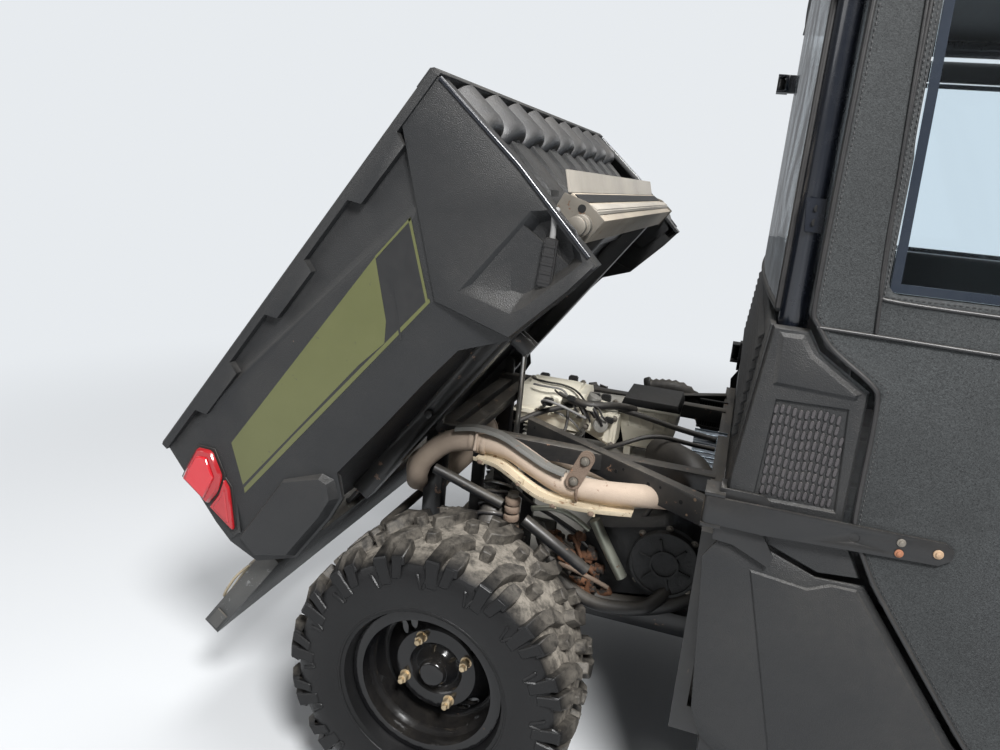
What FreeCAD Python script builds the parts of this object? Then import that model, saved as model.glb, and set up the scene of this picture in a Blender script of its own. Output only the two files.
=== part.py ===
import FreeCAD, Part

import math
import os

V = FreeCAD.Vector

# A full-size two-seat utility side by side. X runs forward, Y to the vehicle's left and Z up, in
# millimetres. Everything is laid out from a point below the rear axle, with the wheels' centres at
# axle_z, and at the end moved so that the tyres stand on the ground and the origin lies in the middle
# of the parked vehicle's length.

# Running gear
wheelbase = 2060.0
width_over_tyres = 1588.0
tyre_radius = 325.0
axle_z = 325.0
rear_tyre_width = 279.0
front_tyre_width = 229.0
rear_wheel_y = (width_over_tyres - rear_tyre_width) / 2
front_wheel_y = (width_over_tyres - front_tyre_width) / 2
origin_ahead_of_axle = wheelbase / 2 - 125.5
lug_height = 24.0
lug_pitches = 16
casing_facets = 32
rim_seat_radius = 152.4
rim_flange_radius = 169.0
rim_wall = 6.0
rim_flange = 7.0
rim_fit = 2.0
rear_rim_width = 203.0
front_rim_width = 178.0
spindle_radius = 20.0
spindle_clearance = 0.4
king_pin_y = front_wheel_y - 79.5
rear_pin_y = rear_wheel_y - 94.5
ball_half = 20.5
rear_damper_y = 465.0
front_damper_y = 480.0
seat_gap = 0.3
shock_pin = 7.0
shock_eye = 14.0
rear_output_z = 395.0
front_output_z = 400.0
case_half = 130.0
front_case_half = 90.0
steering_arm = 90.0

# Frame
rail_y = 245.0
rail_width = 50.0
rail_bottom = 290.0
rail_top = 350.0
cross_top = 305.0
skid_thickness = 4.0
rail_rear = -260.0
rail_front = wheelbase + 240.0
front_post_x = wheelbase - 75.0
upper_rail_y = 295.0
upper_rail_width = 40.0
upper_rail_top = 745.0
bulkhead_x = 500.0
bulkhead_top = 740.0
brace_slope = 0.667
cab_rail_y = 600.0

# Dump bed, laid out as it lies when lowered, and turned about its hinge at the end
bed_tilt = 54.0
bed_pivot_x = -190.0
bed_pivot_z = 785.0
bed_floor_rear = -535.0
bed_floor_front = 405.0
bed_floor_top = 820.0
bed_wall = 12.0
bed_inner_half = 690.0
bed_wall_top = 1122.0
bed_cap_top = 1143.0
headboard_lean = 42.0
bed_skin_y = 745.0
bed_skin = 8.0
bed_cap_y = 752.0
cheek_y = 750.0
cheek_front = 489.0
pocket_y = 722.0
rib_count = 9
rib_pitch = 152.5
rib_radius = 62.0
bed_rail_y = 347.0
bed_rail_width = 50.0
bed_rail_bottom = 758.0
bed_pin_radius = 10.0
bed_cross_height = 12.0
channel_rear = 421.0
tailgate_half = 684.0
tailgate_hinge_x = -565.0
tailgate_hinge_z = 795.0
gate_hinges = (300.0,)
gate_barrel = 8.0
gate_pin = 4.0
tailgate_height = 285.0
tailgate_thickness = 45.0

# Engine bay
airbox_top = 766.0
exhaust_y = -402.0
exhaust_radius = 27.0

# Gas strut that holds the bed up
strut_y = -250.0
strut_foot_x = 5.0
strut_foot_z = 420.0
strut_head_x = 75.0
strut_head_z = 735.0
strut_barrel_radius = 14.0
strut_barrel_length = 300.0
strut_rod_radius = 7.0
strut_rod_length = 290.0
strut_eye_radius = 16.0

# Cab
panel_y = 745.0
panel_thickness = 10.0
floor_top = 358.0
floor_thickness = 8.0
door_inner_y = 737.0
door_outer_y = 757.0
door_gap = 6.0
cab_rear_x = 530.0
seat_box_top = 640.0
cage_radius = 24.0
cage_y = 700.0
cage_rear_x = 588.0
cage_front_x = wheelbase - 395.0
cage_foot_z = 330.0
roof_front_x = cage_front_x - 360.0
cage_top = 1862.0
hinge_x = 506.0
hinge_y = 752.0
hinge_pin_radius = 6.0
strap_outer_y = 763.0
strap_low_z = 845.0
hem_width = 16.0
hem_height = 2.5
strap_high_z = 1740.0
hood_hinge_x = cage_front_x + 61.0
hood_hinge_z = 1108.0
wheel_centre = (cage_front_x - 335.0, 330.0, 1110.0)
column_lean = 50.0
column_radius = 30.0


def box(x0, x1, y0, y1, z0, z1):
    """A block between two opposite corners."""
    return Part.makeBox(x1 - x0, y1 - y0, z1 - z0, V(x0, y0, z0))


def rod(start, end, radius):
    """A round bar between two points."""
    a = V(*start)
    b = V(*end)
    return Part.makeCylinder(radius, a.distanceToPoint(b), a, b - a)


def slab_y(outline, y0, y1):
    """A plate with an outline of (x, z) corners, thick from y0 to y1."""
    corners = [V(x, y0, z) for x, z in outline]
    return Part.Face(Part.makePolygon(corners + corners[:1])).extrude(V(0, y1 - y0, 0))


def inset(outline, distance):
    """The (x, z) outline with every edge moved inward by a distance."""
    count = len(outline)
    area = sum(ax * bz - bx * az for (ax, az), (bx, bz) in zip(outline, outline[1:] + outline[:1]))
    side = distance if area > 0 else -distance
    lines = []
    for k in range(count):
        (ax, az), (bx, bz) = outline[k], outline[(k + 1) % count]
        length = math.hypot(bx - ax, bz - az)
        ux, uz = (bx - ax) / length, (bz - az) / length
        lines.append((ax - uz * side, az + ux * side, ux, uz))
    moved = []
    for (ax, az, ux, uz), (bx, bz, vx, vz) in zip(lines[-1:] + lines[:-1], lines):
        share = ((bx - ax) * vz - (bz - az) * vx) / (ux * vz - uz * vx)
        moved.append((ax + ux * share, az + uz * share))
    return moved


def loft_y(low_outline, y0, high_outline, y1):
    """A faceted block between two (x, z) outlines with as many corners, at y0 and y1."""
    rings = []
    for outline, y in ((low_outline, y0), (high_outline, y1)):
        corners = [V(x, y, z) for x, z in outline]
        rings.append(Part.makePolygon(corners + corners[:1]))
    return Part.makeLoft(rings, True, True)


def draft_y(outline, y0, y1, taper):
    """A plate like slab_y's whose outline shrinks by taper on its way from y0 to y1."""
    return loft_y(outline, y0, inset(outline, taper), y1)


def slab_x(outline, x0, x1):
    """A plate with an outline of (y, z) corners, thick from x0 to x1."""
    corners = [V(x0, y, z) for y, z in outline]
    return Part.Face(Part.makePolygon(corners + corners[:1])).extrude(V(x1 - x0, 0, 0))


def fuse(*shapes):
    """One solid from shapes that overlap or share faces."""
    whole = shapes[0].multiFuse(list(shapes[1:])).removeSplitter()
    return whole.Solids[0] if len(whole.Solids) == 1 else whole


def mirrored(shape):
    """The same piece on the vehicle's other side."""
    return shape.mirror(V(0, 0, 0), V(0, 1, 0))


def both(shape):
    """A piece and its mirror image."""
    return [shape, mirrored(shape)]


def bent_tube(points, radius, bend):
    """A round tube along straight runs that are joined by tangent arcs of one bend radius."""
    route = [V(*p) for p in points]
    edges = []
    start = route[0]
    for before, corner, after in zip(route, route[1:], route[2:]):
        inward = (before - corner).normalize()
        onward = (after - corner).normalize()
        half = inward.getAngle(onward) / 2
        reach = bend / math.tan(half)
        middle = corner + (inward + onward).normalize() * (bend / math.sin(half) - bend)
        arc_start = corner + inward * reach
        arc_end = corner + onward * reach
        edges.append(Part.makeLine(start, arc_start))
        edges.append(Part.Arc(arc_start, middle, arc_end).toShape())
        start = arc_end
    edges.append(Part.makeLine(start, route[-1]))
    ring = Part.Wire(Part.makeCircle(radius, route[0], route[1] - route[0]))
    return Part.Wire(edges).makePipeShell([ring], True, True)


def raised(shape):
    """A piece of the bed, turned about the hinge from lowered to tipped up."""
    turned = shape.copy()
    turned.rotate(V(bed_pivot_x, 0, bed_pivot_z), V(0, 1, 0), -bed_tilt)
    return turned


# Frame


def main_frame():
    """Welded steel frame: lower rails, bed rails on rear posts, cab bulkhead and front bulkhead."""
    rail = box(rail_rear, rail_front, rail_y - rail_width / 2, rail_y + rail_width / 2,
               rail_bottom, rail_top)
    pieces = both(rail)
    inner = rail_y - rail_width / 2
    for x in (rail_rear, 560.0, cage_front_x - 315.0, wheelbase - 130.0, rail_front - 50.0):
        pieces.append(box(x, x + 50, -inner, inner, rail_bottom, cross_top))
    cab_rail = box(bulkhead_x, cage_front_x - 15, cab_rail_y - 20, cab_rail_y + 20, rail_bottom, rail_top)
    pieces += both(cab_rail)
    for x in (bulkhead_x, cage_front_x - 55.0):
        outrigger = box(x, x + 40, rail_y, cab_rail_y, rail_bottom, rail_top)
        pieces += both(outrigger)
    half = upper_rail_width / 2
    low = upper_rail_top - upper_rail_width
    upper = box(-215, bulkhead_x + 10, upper_rail_y - half, upper_rail_y + half, low, upper_rail_top)
    post = box(-215, -165, upper_rail_y - half, upper_rail_y + half, rail_bottom, upper_rail_top)
    foot = box(-215, -165, rail_y, upper_rail_y, rail_bottom, rail_top)
    ear_y = upper_rail_y + half
    ear = fuse(box(bed_pivot_x - 15, bed_pivot_x + 15, ear_y - 12, ear_y, low, bed_pivot_z),
               rod((bed_pivot_x, ear_y - 12, bed_pivot_z), (bed_pivot_x, ear_y, bed_pivot_z), 15))
    pin = rod((bed_pivot_x, ear_y, bed_pivot_z), (bed_pivot_x, bed_rail_y + 33, bed_pivot_z),
              bed_pin_radius)
    pieces += both(upper) + both(post) + both(foot) + both(ear) + both(pin)
    for x in (-210.0, -150.0):
        pieces.append(box(x, x + 40, -upper_rail_y, upper_rail_y, low, low + 25))
    side_post = box(bulkhead_x, bulkhead_x + 30, cab_rail_y - 20, cab_rail_y + 20,
                    rail_bottom, bulkhead_top)
    header = box(bulkhead_x, bulkhead_x + 30, -cab_rail_y, cab_rail_y, bulkhead_top - 50, bulkhead_top)
    pieces += both(side_post) + [header]
    # Flat braces with a top flange, out to the bulkhead: the right one starts further back.
    for x, y, side in ((10.0, -160.0, -1), (215.0, 297.0, 1)):
        end_y = y + side * (bulkhead_x + 5 - x) * brace_slope
        for inward, low_z in ((10.0, 690.0), (34.0, 745.0)):
            corners = [V(x, y, low_z), V(bulkhead_x + 5, end_y, low_z),
                       V(bulkhead_x + 5, end_y - side * inward, low_z), V(x, y - side * inward, low_z)]
            web = Part.Face(Part.makePolygon(corners + corners[:1])).extrude(V(0, 0, 750 - low_z))
            pieces.append(web)
    tower = box(-25, 25, 275, upper_rail_y + half, 600, low + 1)
    pieces += both(tower)
    for x in (-85.0, 55.0):
        arm_post = box(x, x + 30, upper_rail_y, upper_rail_y + half, rail_top, low + 1)
        arm_foot = box(x, x + 30, 250, upper_rail_y + half, rail_top, rail_top + 12)
        pieces += both(arm_post) + both(arm_foot)
    bushing = box(-305, -215, 285, 305, 430, 452.7)
    pieces += both(bushing)
    fx = strut_foot_x
    fz = strut_foot_z
    for y in (strut_y - 17, strut_y + 12):
        # Each ear rises ahead of the half shaft and reaches back over it to the pin.
        ear_outline = [(fx + 15, rail_top - 5), (fx + 55, rail_top - 5), (fx + 55, fz - 20),
                       (fx + 14, fz + 14),
                       (fx - 14, fz + 14), (fx - 14, fz - 12), (fx + 15, fz - 22)]
        pieces.append(slab_y(ear_outline, y, y + 5))
    foot_pin = rod((strut_foot_x, strut_y - 17, strut_foot_z), (strut_foot_x, strut_y + 17, strut_foot_z), 6)
    pieces.append(foot_pin)
    cage_foot = box(cage_rear_x - 26, cage_rear_x + 26, cab_rail_y, cage_y + 26, rail_bottom, cage_foot_z)
    front_foot = box(cage_front_x - 60, cage_front_x + 10, cab_rail_y, cage_y + 24, rail_bottom, cage_foot_z)
    pieces += both(cage_foot) + both(front_foot)
    for x in (front_post_x, front_post_x + 125.0):
        front_post = box(x, x + 30, 215, 245, rail_bottom, 640)
        pieces += both(front_post)
        pieces.append(box(x, x + 30, -245, 245, 610, 640))
    pieces += both(box(front_post_x, front_post_x + 155, 215, 245, 610, 640))
    drawbar = box(-345, rail_rear + 30, -60, 60, rail_bottom, cross_top)
    hole = rod((-315, 0, rail_bottom - 5), (-315, 0, cross_top + 5), 10)
    pieces.append(drawbar)
    return [fuse(*pieces).cut(hole)]


def skid_plate():
    """Flat plate that closes the underside between the lower rails."""
    return [box(rail_rear + 60, rail_front - 60, -rail_y, rail_y, rail_bottom - skid_thickness, rail_bottom)]


def floor_pan():
    """Moulded cab floor that turns up into the toe board and fire wall."""
    low = floor_top - floor_thickness
    toe = cage_front_x - 135
    outline = [(545, low), (toe, low), (toe + 130, 500), (toe + 142, 900), (toe + 134, 900), (toe + 122, 503),
               (toe - 4, floor_top), (545, floor_top)]
    return [slab_y(outline, -620, 620)]


# Engine bay


def engine():
    """Crankcase block with a finned cylinder standing on its left rear corner."""
    case = [(125, 345), (430, 345), (470, 400), (470, 560), (380, 605), (-60, 605), (-90, 570),
            (-90, 485), (125, 485)]
    pieces = [slab_y(case, -180, 200)]
    pieces.append(box(-45, 85, 75, 225, 600, 668))
    for fin in range(4):
        z = 612 + 14 * fin
        pieces.append(box(-60, 100, 60, 240, z, z + 5))
    for x0, x1 in ((150, 190), (390, 430)):
        pieces.append(box(x0, x1, -rail_y, rail_y, rail_top + seat_gap, rail_top + 14))
    return [fuse(*pieces)]


def valve_cover():
    """Cast cylinder head and rounded rocker cover on top of the cylinder, with ribs and a filler cap."""
    section = [(55, 668.3), (245, 668.3), (245, 722), (232, 756), (205, 780), (172, 789), (128, 789),
               (95, 780),
               (68, 756), (55, 722)]
    lower = slab_x(section, -85, 110)
    for x0, x1 in ((-86, -62), (88, 111)):
        lower = lower.cut(slab_x([(40, 775), (260, 775), (260, 800), (40, 800)], x0, x1))
    flange = box(-92, 116, 50, 250, 700, 712)
    plug = rod((10, 62, 726), (10, 20, 740), 16)
    return [fuse(lower, flange, plug)]


def airbox():
    """Moulded intake box beside the cylinder: tapered, ribbed round its sides, on two legs."""
    rings = []
    # Columns: height, inset of the box's four sides
    for z, taper in ((640, 14), (700, 0), (airbox_top, 0)):
        corners = [V(225 + taper, 90 + taper, z), V(380 - taper, 90 + taper, z),
                     V(380 - taper, 260 - taper, z),
                   V(225 + taper, 260 - taper, z)]
        rings.append(Part.makePolygon(corners + corners[:1]))
    body = Part.makeLoft(rings, True, True)
    ribs = [box(x, x + 4, 86, 264, 706, airbox_top) for x in (245, 280, 315, 350)]
    flange = box(219, 386, 84, 266, airbox_top - 8, airbox_top)
    legs = [box(x, x + 20, 110, 180, 605 + seat_gap, 645) for x in (240, 345)]
    return [fuse(body, flange, *ribs, *legs)]


def airbox_lid():
    """Dark clamped lid of the intake box."""
    low = airbox_top
    return [slab_y([(218, low), (387, low), (379, low + 22), (226, low + 22)], 84, 266)]


def clutch_housing():
    """Belt drive housing on the crankcase's right side, with a round cover: rim, hub ring and ribs."""
    cx, cz = 427, 499
    pieces = [rod((cx, -180, cz), (cx, -300, cz), 92), rod((290, -180, 470), (290, -300, 470), 88),
              slab_y([(292, 382), (437, 408), (423, 591), (284, 557)], -300, -180)]
    pieces.append(rod((cx, -300, cz), (cx, -316, cz), 84))
    for outer, inner in ((84, 77), (36, 30)):
        pieces.append(rod((cx, -315, cz), (cx, -322, cz), outer).cut(rod((cx, -315, cz), (cx, -323, cz),
                      inner)))
    for k in range(6):
        rib = box(cx + 33, cx + 66, -321, -315, cz - 3, cz + 3)
        rib.rotate(V(cx, 0, cz), V(0, 1, 0), 60 * k + 15)
        pieces.append(rib)
    for k in range(8):
        boss = rod((cx + 88, -300, cz), (cx + 88, -290, cz), 8)
        boss.rotate(V(cx, 0, cz), V(0, 1, 0), 45 * k)
        if boss.BoundBox.XMin > 400:
            pieces.append(boss)
    return [fuse(*pieces)]


def transaxle():
    """Rear gear case between the half shafts, on ears over the lower rails."""
    case = [(-105, 340), (-60, 300), (108, 300), (112, 470), (-60, 475), (-105, 430)]
    ear = box(-100, -60, -rail_y, rail_y, rail_top + seat_gap, rail_top + 14)
    return [fuse(slab_y(case, -case_half, case_half), ear)]


def exhaust():
    """Exhaust pipe from the cylinder over the frame and down to the muffler across the rear."""
    pipe = bent_tube([(20, 59.7, 640), (20, -50, 640), (420, -140, 640), (420, -330, 640),
                      (335, exhaust_y, 647),
                      (215, exhaust_y, 724), (-85, exhaust_y, 745), (-215, exhaust_y, 640),
                      (-262, -300, 570), (-250, -200, 560)], exhaust_radius, 40)
    muffler = rod((-250, -215, 560), (-250, 235, 560), 65)
    flange = box(-18, 58, 48, 60 - seat_gap, 612, 667.5)
    tabs = [box(-245, -215 - seat_gap, *span, 585, 600) for span in ((225, 305), (-305, -205))]
    return [fuse(pipe, muffler, flange, *tabs)]


def heat_shield():
    """Half shell of sheet under the exhaust's straight run, on two half clips."""
    start = V(-85, exhaust_y, 745)
    run = V(215, exhaust_y, 724) - start
    ahead = run * (1 / run.Length)
    near = start + ahead * 45
    far = start + ahead * 255
    shell = rod(near, far, 41).cut(rod(near - ahead, far + ahead, 38))
    clips = []
    for along in (80, 215):
        at = start + ahead * along
        clips.append(rod(at, at + ahead * 10, 39))
    whole = fuse(shell, *clips).cut(rod(start, start + ahead * 300, exhaust_radius + seat_gap))
    above = slab_y([(near.x - 20, near.z + 1.4), (far.x + 20, far.z - 1.4), (far.x + 20, 800),
                    (near.x - 20, 800)],
                   exhaust_y - 60, exhaust_y + 60)
    return [whole.cut(above).Solids[0]]


# Suspension and drive line


def a_arm(inner_x, inner_y, inner_z, spread, outer_x, outer_y, outer_z, radius):
    """A V of two tubes from a pivot tube on the frame to one ball joint."""
    front = (inner_x + spread, inner_y, inner_z)
    rear = (inner_x - spread, inner_y, inner_z)
    tip = (outer_x, outer_y, outer_z)
    pivot = rod((rear[0] - 20, inner_y, inner_z), (front[0] + 20, inner_y, inner_z), radius + 4)
    ball = rod((outer_x, outer_y, outer_z - ball_half), (outer_x, outer_y, outer_z + ball_half), radius + 6)
    return fuse(rod(front, tip, radius), rod(rear, tip, radius), pivot, ball)


def suspension_arms():
    """Upper and lower arms of all four wheels; each upper arm carries its damper's cross pin."""
    arms = []
    # Columns: axle x, inner y, inner z, half spread, outer y, outer z, tube radius, damper pin's y
    table = [(0.0, 287.3, 330.0, 130.0, rear_pin_y, 245.0, 13.0, None),
             (0.0, 331.3, 480.0, 60.0, rear_pin_y, 405.0, 12.0, rear_damper_y),
             (wheelbase, 286.3, 322.0, 110.0, king_pin_y, 240.0, 12.0, None),
             (wheelbase, 260.3, 500.0, 60.0, king_pin_y, 411.0, 11.0, front_damper_y)]
    for axle_x, inner_y, inner_z, spread, outer_y, outer_z, radius, pin_y in table:
        arm = a_arm(axle_x, inner_y, inner_z, spread, axle_x, outer_y, outer_z, radius)
        if pin_y:
            share = (outer_y - pin_y) / (outer_y - inner_y)
            pin_z = outer_z + (inner_z - outer_z) * share
            reach = spread * share
            arm = fuse(arm, rod((axle_x - reach, pin_y, pin_z), (axle_x + reach, pin_y, pin_z), shock_pin))
        arms += both(arm)
    return arms


def shocks():
    """Coil-over dampers from the upper arms' cross pins up to the frame."""
    units = []
    # Columns: x, lower y, lower z, upper y, upper z, spring radius, half length of the lower eye
    table = [(0.0, rear_damper_y, 436.2, 329.3, 640.0, 30, 7.5),
             (wheelbase, front_damper_y, 442.4, 259.3, 625.0, 28, 6.0)]
    for x, low_y, low_z, high_y, high_z, coil, eye_half in table:
        low = V(x, low_y, low_z)
        high = V(x, high_y, high_z)
        run = high - low
        spring = rod(low + run * 0.25, low + run * 0.85, coil)
        low_eye = rod(low - V(eye_half, 0, 0), low + V(eye_half, 0, 0), shock_eye)
        high_eye = rod(high - V(16, 0, 0), high + V(16, 0, 0), shock_eye)
        unit = fuse(spring, rod(low + run * 0.05, high, 6), low_eye, high_eye)
        units += both(unit.cut(rod(low - V(20, 0, 0), low + V(20, 0, 0), shock_pin + seat_gap)))
    return units


def half_shaft(x, inner_y, inner_z, outer_y, radius, boot):
    """Shaft with a boot at each end, along one line between a gear case and a bearing carrier."""
    start = V(x, inner_y, inner_z)
    run = V(x, outer_y, axle_z) - start
    whole = fuse(rod(start - run * 0.05, start + run * 1.05, radius),
                 rod(start - run * 0.05, start + run * 0.14, boot),
                 rod(start + run * 0.88, start + run * 1.05, boot))
    return whole.common(box(x - 60, x + 60, inner_y + seat_gap, outer_y - seat_gap, 200, 500))


def driveline():
    """Half shafts with their boots, the prop shaft and the front gear case."""
    pieces = both(half_shaft(0, case_half, rear_output_z, rear_pin_y - 15, 13, 34))
    pieces += both(half_shaft(wheelbase, front_case_half, front_output_z, king_pin_y - 50, 12, 30))
    x = wheelbase
    case = slab_y([(x - 65, 306), (x + 60, 306), (x + 80, 350), (x + 55, 440), (x - 50, 440)],
                  -front_case_half, front_case_half)
    ear = box(x - 30, x - 10, -rail_y, rail_y, rail_top + seat_gap, rail_top + 14)
    pieces.append(fuse(case, ear, rod((112 + seat_gap, 0, axle_z), (x - 60, 0, axle_z), 15)))
    return pieces


def rear_knuckles():
    """Bearing carriers that hold the rear wheels, with their spindles."""
    low = 245.0 + ball_half + seat_gap
    high = 405.0 - ball_half - seat_gap
    y = rear_pin_y
    carrier = slab_x([(y - 15, low), (y + 20, low), (y + 30, 300), (y + 30, 350), (y + 20, high),
                      (y - 15, high)], -35, 35)
    spindle = rod((0, y + 20, axle_z), (0, y + 95, axle_z), spindle_radius)
    return both(fuse(carrier, spindle))


def stabilizer_bar():
    """Anti-roll bar across the rear with a drop link at each end, clamped round the lower arm."""
    bar = bent_tube([(-67, -420, 450), (-290, -420, 465), (-290, 420, 465), (-67, 420, 450)], 12, 50)
    inner = V(-130, 287.3, 330)
    along = V(0, rear_pin_y, 245) - inner
    on_arm = inner + along * ((420 - inner.y) / along.y)
    along.normalize()
    link = fuse(rod((on_arm.x, 420, 450), on_arm, 8), rod((on_arm.x, 420, 436), (on_arm.x, 420, 464), 13),
                rod(on_arm - along * 9, on_arm + along * 9, 20))
    link = link.cut(rod(on_arm - along * 60, on_arm + along * 60, 13 + seat_gap))
    return [fuse(bar, link, mirrored(link))]


# Wheels


def ring_point(radius, y, turn):
    """A point on a ring about the wheel's axis."""
    return V(radius * math.sin(turn), y, radius * math.cos(turn))


def tyre(width, rim_width, lug_table):
    """Faceted casing with its lugs, centred on the wheel and ready to be moved to it."""
    tread = tyre_radius - lug_height
    bore = rim_seat_radius + rim_fit
    # Columns: share of the half width, radius
    bead = (rim_width / 2 - rim_flange - seat_gap) / (width / 2)
    shoulder = rim_flange_radius + rim_fit
    profile = [(-bead, bore), (-bead, shoulder), (-0.92, shoulder + 20), (-1.0, 238.0), (-0.93, tread - 28),
               (-0.72, tread - 3), (0.72, tread - 3), (0.93, tread - 28), (1.0, 238.0), (0.92, shoulder + 20),
               (bead, shoulder), (bead, bore)]
    step = 2 * math.pi / casing_facets
    faces = []
    for k in range(casing_facets):
        for (a, ra), (b, rb) in zip(profile, profile[1:] + profile[:1]):
            ya = a * width / 2
            yb = b * width / 2
            quad = [ring_point(ra, ya, k * step), ring_point(ra, ya, (k + 1) * step),
                    ring_point(rb, yb, (k + 1) * step), ring_point(rb, yb, k * step)]
            faces.append(Part.Face(Part.makePolygon(quad + quad[:1])))
    casing = Part.Solid(Part.Shell(faces))
    if casing.Volume < 0:
        casing.reverse()
    lugs = []
    pitch = 2 * math.pi / lug_pitches
    for k in range(lug_pitches):
        for side in (-1, 1):
            turn = (k + (0.25 if side > 0 else 0.75)) * pitch
            for base, top, outline in lug_table:
                corners = [V(t * side, y * side * width / 2, base) for t, y in outline]
                face = Part.Face(Part.makePolygon(corners + corners[:1]))
                lug = face.extrude(V(0, 0, top - base))
                lug.rotate(V(0, 0, 0), V(0, 1, 0), math.degrees(turn))
                lugs.append(lug)
    return casing.multiFuse(lugs).removeSplitter().Solids[0]


def lug_shapes():
    """Footprints of one pitch's lugs: distance round the tread, share of the half width."""
    top = tyre_radius - 2.2
    low = tyre_radius - lug_height - 14
    shoulder = [(-40, 0.95), (-8, 0.95), (2, 0.50), (34, 0.20), (12, 0.08), (-24, 0.42)]
    block = [(-2, 0.95), (36, 0.95), (40, 0.60), (10, 0.60)]
    # Wedges on the side wall carry the shoulder lugs down towards the rim.
    long_wedge = [(-36, 1.0), (-10, 1.0), (-8, 0.85), (-40, 0.85)]
    short_wedge = [(4, 1.0), (32, 1.0), (36, 0.85), (-2, 0.85)]
    return [(low, top, shoulder), (low, top - 1, block), (248.0, top - 12, long_wedge), (264.0, top - 12, short_wedge)]


def rim(width, dish):
    """Pressed steel wheel: barrel with flanges, a dished disc with hand holes, and the hub."""
    half = width / 2
    seat = rim_seat_radius
    inner = seat - rim_wall
    well = 10.0
    outside = [(half, rim_flange_radius), (half - rim_flange, rim_flange_radius), (half - rim_flange, seat),
               (half - 30, seat),
               (half - 45, seat - well), (-half + 45, seat - well), (-half + 30, seat),
                (-half + rim_flange, seat),
               (-half + rim_flange, rim_flange_radius), (-half, rim_flange_radius)]
    inside = [(-half, inner), (-half + 30, inner), (-half + 45, inner - well), (half - 45, inner - well),
              (half - 30, inner), (half, inner)]
    section = [V(r, y, 0) for y, r in outside + inside]
    barrel = Part.Face(Part.makePolygon(section + section[:1])).revolve(V(0, 0, 0), V(0, 1, 0), 360)
    edge = inner - well + 1
    outline = [(dish, edge), (dish, 128), (dish + 34, 92), (dish + 34, 62), (dish + 20, 50),
               (dish + 34, 36), (dish + 48, 32), (dish + 48, 0), (dish + 8, 0), (dish + 8, 62),
               (dish + 27, 84), (dish - 7, 122), (dish - 7, edge)]
    section = [V(r, y, 0) for y, r in outline]
    disc = Part.Face(Part.makePolygon(section + section[:1])).revolve(V(0, 0, 0), V(0, 1, 0), 360)
    for k in range(4):
        turn = math.pi / 4 + k * math.pi / 2
        a = ring_point(108, dish - 30, turn - 0.13)
        b = ring_point(108, dish - 30, turn + 0.13)
        for p in (a, b):
            disc = disc.cut(Part.makeCylinder(13, 100, p, V(0, 1, 0)))
    hub = Part.makeCylinder(34, 48, V(0, dish - 36, 0), V(0, 1, 0))
    bore = Part.makeCylinder(spindle_radius + spindle_clearance, 55, V(0, dish - 37, 0), V(0, 1, 0))
    return fuse(barrel, disc, hub).cut(bore)


def wheel_set():
    """The tyre and rim of each wheel, at its place."""
    made = {}
    table = lug_shapes()
    # Columns: name, wheel centre x, tyre width, rim width, disc offset outboard
    axles = [("rear", 0.0, rear_tyre_width, rear_rim_width, 10.0),
             ("front", wheelbase, front_tyre_width, front_rim_width, 25.0)]
    for name, x, width, rim_width, dish in axles:
        y = rear_wheel_y if name == "rear" else front_wheel_y
        rubber = tyre(width, rim_width, table)
        steel = rim(rim_width, dish)
        for side, sign in (("left", 1), ("right", -1)):
            for label, shape in (("tyre", rubber), ("rim", steel)):
                piece = shape if sign > 0 else mirrored(shape)
                piece = piece.copy()
                piece.translate(V(x, sign * y, axle_z))
                made[f"{label}_{name}_{side}"] = [piece]
    return made


# Steering


def front_knuckle():
    """Left front knuckle: a carrier on the king pin, its spindle and its steering arm."""
    x = wheelbase
    y = king_pin_y
    low = 240.0 + ball_half + seat_gap
    high = 411.0 - ball_half - seat_gap
    carrier = box(x - 24, x + 24, y - 20, y + 14, low, high)
    spindle = rod((x, y, axle_z), (x, front_wheel_y + 5, axle_z), spindle_radius)
    stub = rod((x, y, axle_z), (x, y - 28, axle_z), 16)
    arm = box(x - steering_arm - 14, x - 20, y - 28, y - 4, 292, 304)
    return fuse(carrier, spindle, stub, arm)


def steering_rack():
    """Sliding rack bar with a tie rod and rod end on each side."""
    x = wheelbase - steering_arm
    bar = rod((x - 10, -255, 452), (x - 10, 255, 452), 11)
    tie = rod((x - 10, 250, 452), (x, king_pin_y - 16, 330), 8)
    end = rod((x, king_pin_y - 16, 304.5), (x, king_pin_y - 16, 342), 11)
    return [fuse(bar, tie, mirrored(tie), end, mirrored(end))]


def rack_housing():
    """Tube that the rack slides in, on the front bulkhead, and its pinion tower."""
    x = wheelbase - steering_arm - 10
    tube = rod((x, -205, 452), (x, 205, 452), 24)
    mount = box(x, front_post_x, -60, 60, 430, 474)
    tower = rod((x, 120, 452), (x - 25, 150, 520), 16)
    bore = rod((x, -248, 452), (x, 248, 452), 11 + seat_gap)
    legs = both(box(x + 8, front_post_x, 180, 206, 436, 468))
    return fuse(tube, mount, tower, *legs).cut(bore)


def steering_column():
    """Shaft from the pinion tower up to the steering wheel, in a jacket under the dash."""
    wx, wy, wz = wheel_centre
    lean = math.radians(column_lean)
    down = V(math.sin(lean), 0, -math.cos(lean))
    top = V(wx, wy, wz) + down * 18.3
    upper = rod(top, top + down * 330, 16)
    jacket = rod(top + down * 60, top + down * 270, column_radius)
    return fuse(upper, jacket)


def steering_wheel():
    """Round rim with three spokes on a hub, square to the column."""
    torus = Part.makeTorus(180, 14)
    hub = Part.makeCylinder(42, 24, V(0, 0, -18))
    spokes = []
    for turn in (90, 210, 330):
        spoke = Part.makeBox(160, 34, 8, V(15, -17, -10))
        spoke.rotate(V(0, 0, 0), V(0, 0, 1), turn)
        spokes.append(spoke)
    whole = fuse(torus, hub, *spokes)
    whole.rotate(V(0, 0, 0), V(0, 1, 0), -column_lean)
    whole.translate(V(*wheel_centre))
    return [whole]


# Cab


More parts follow.
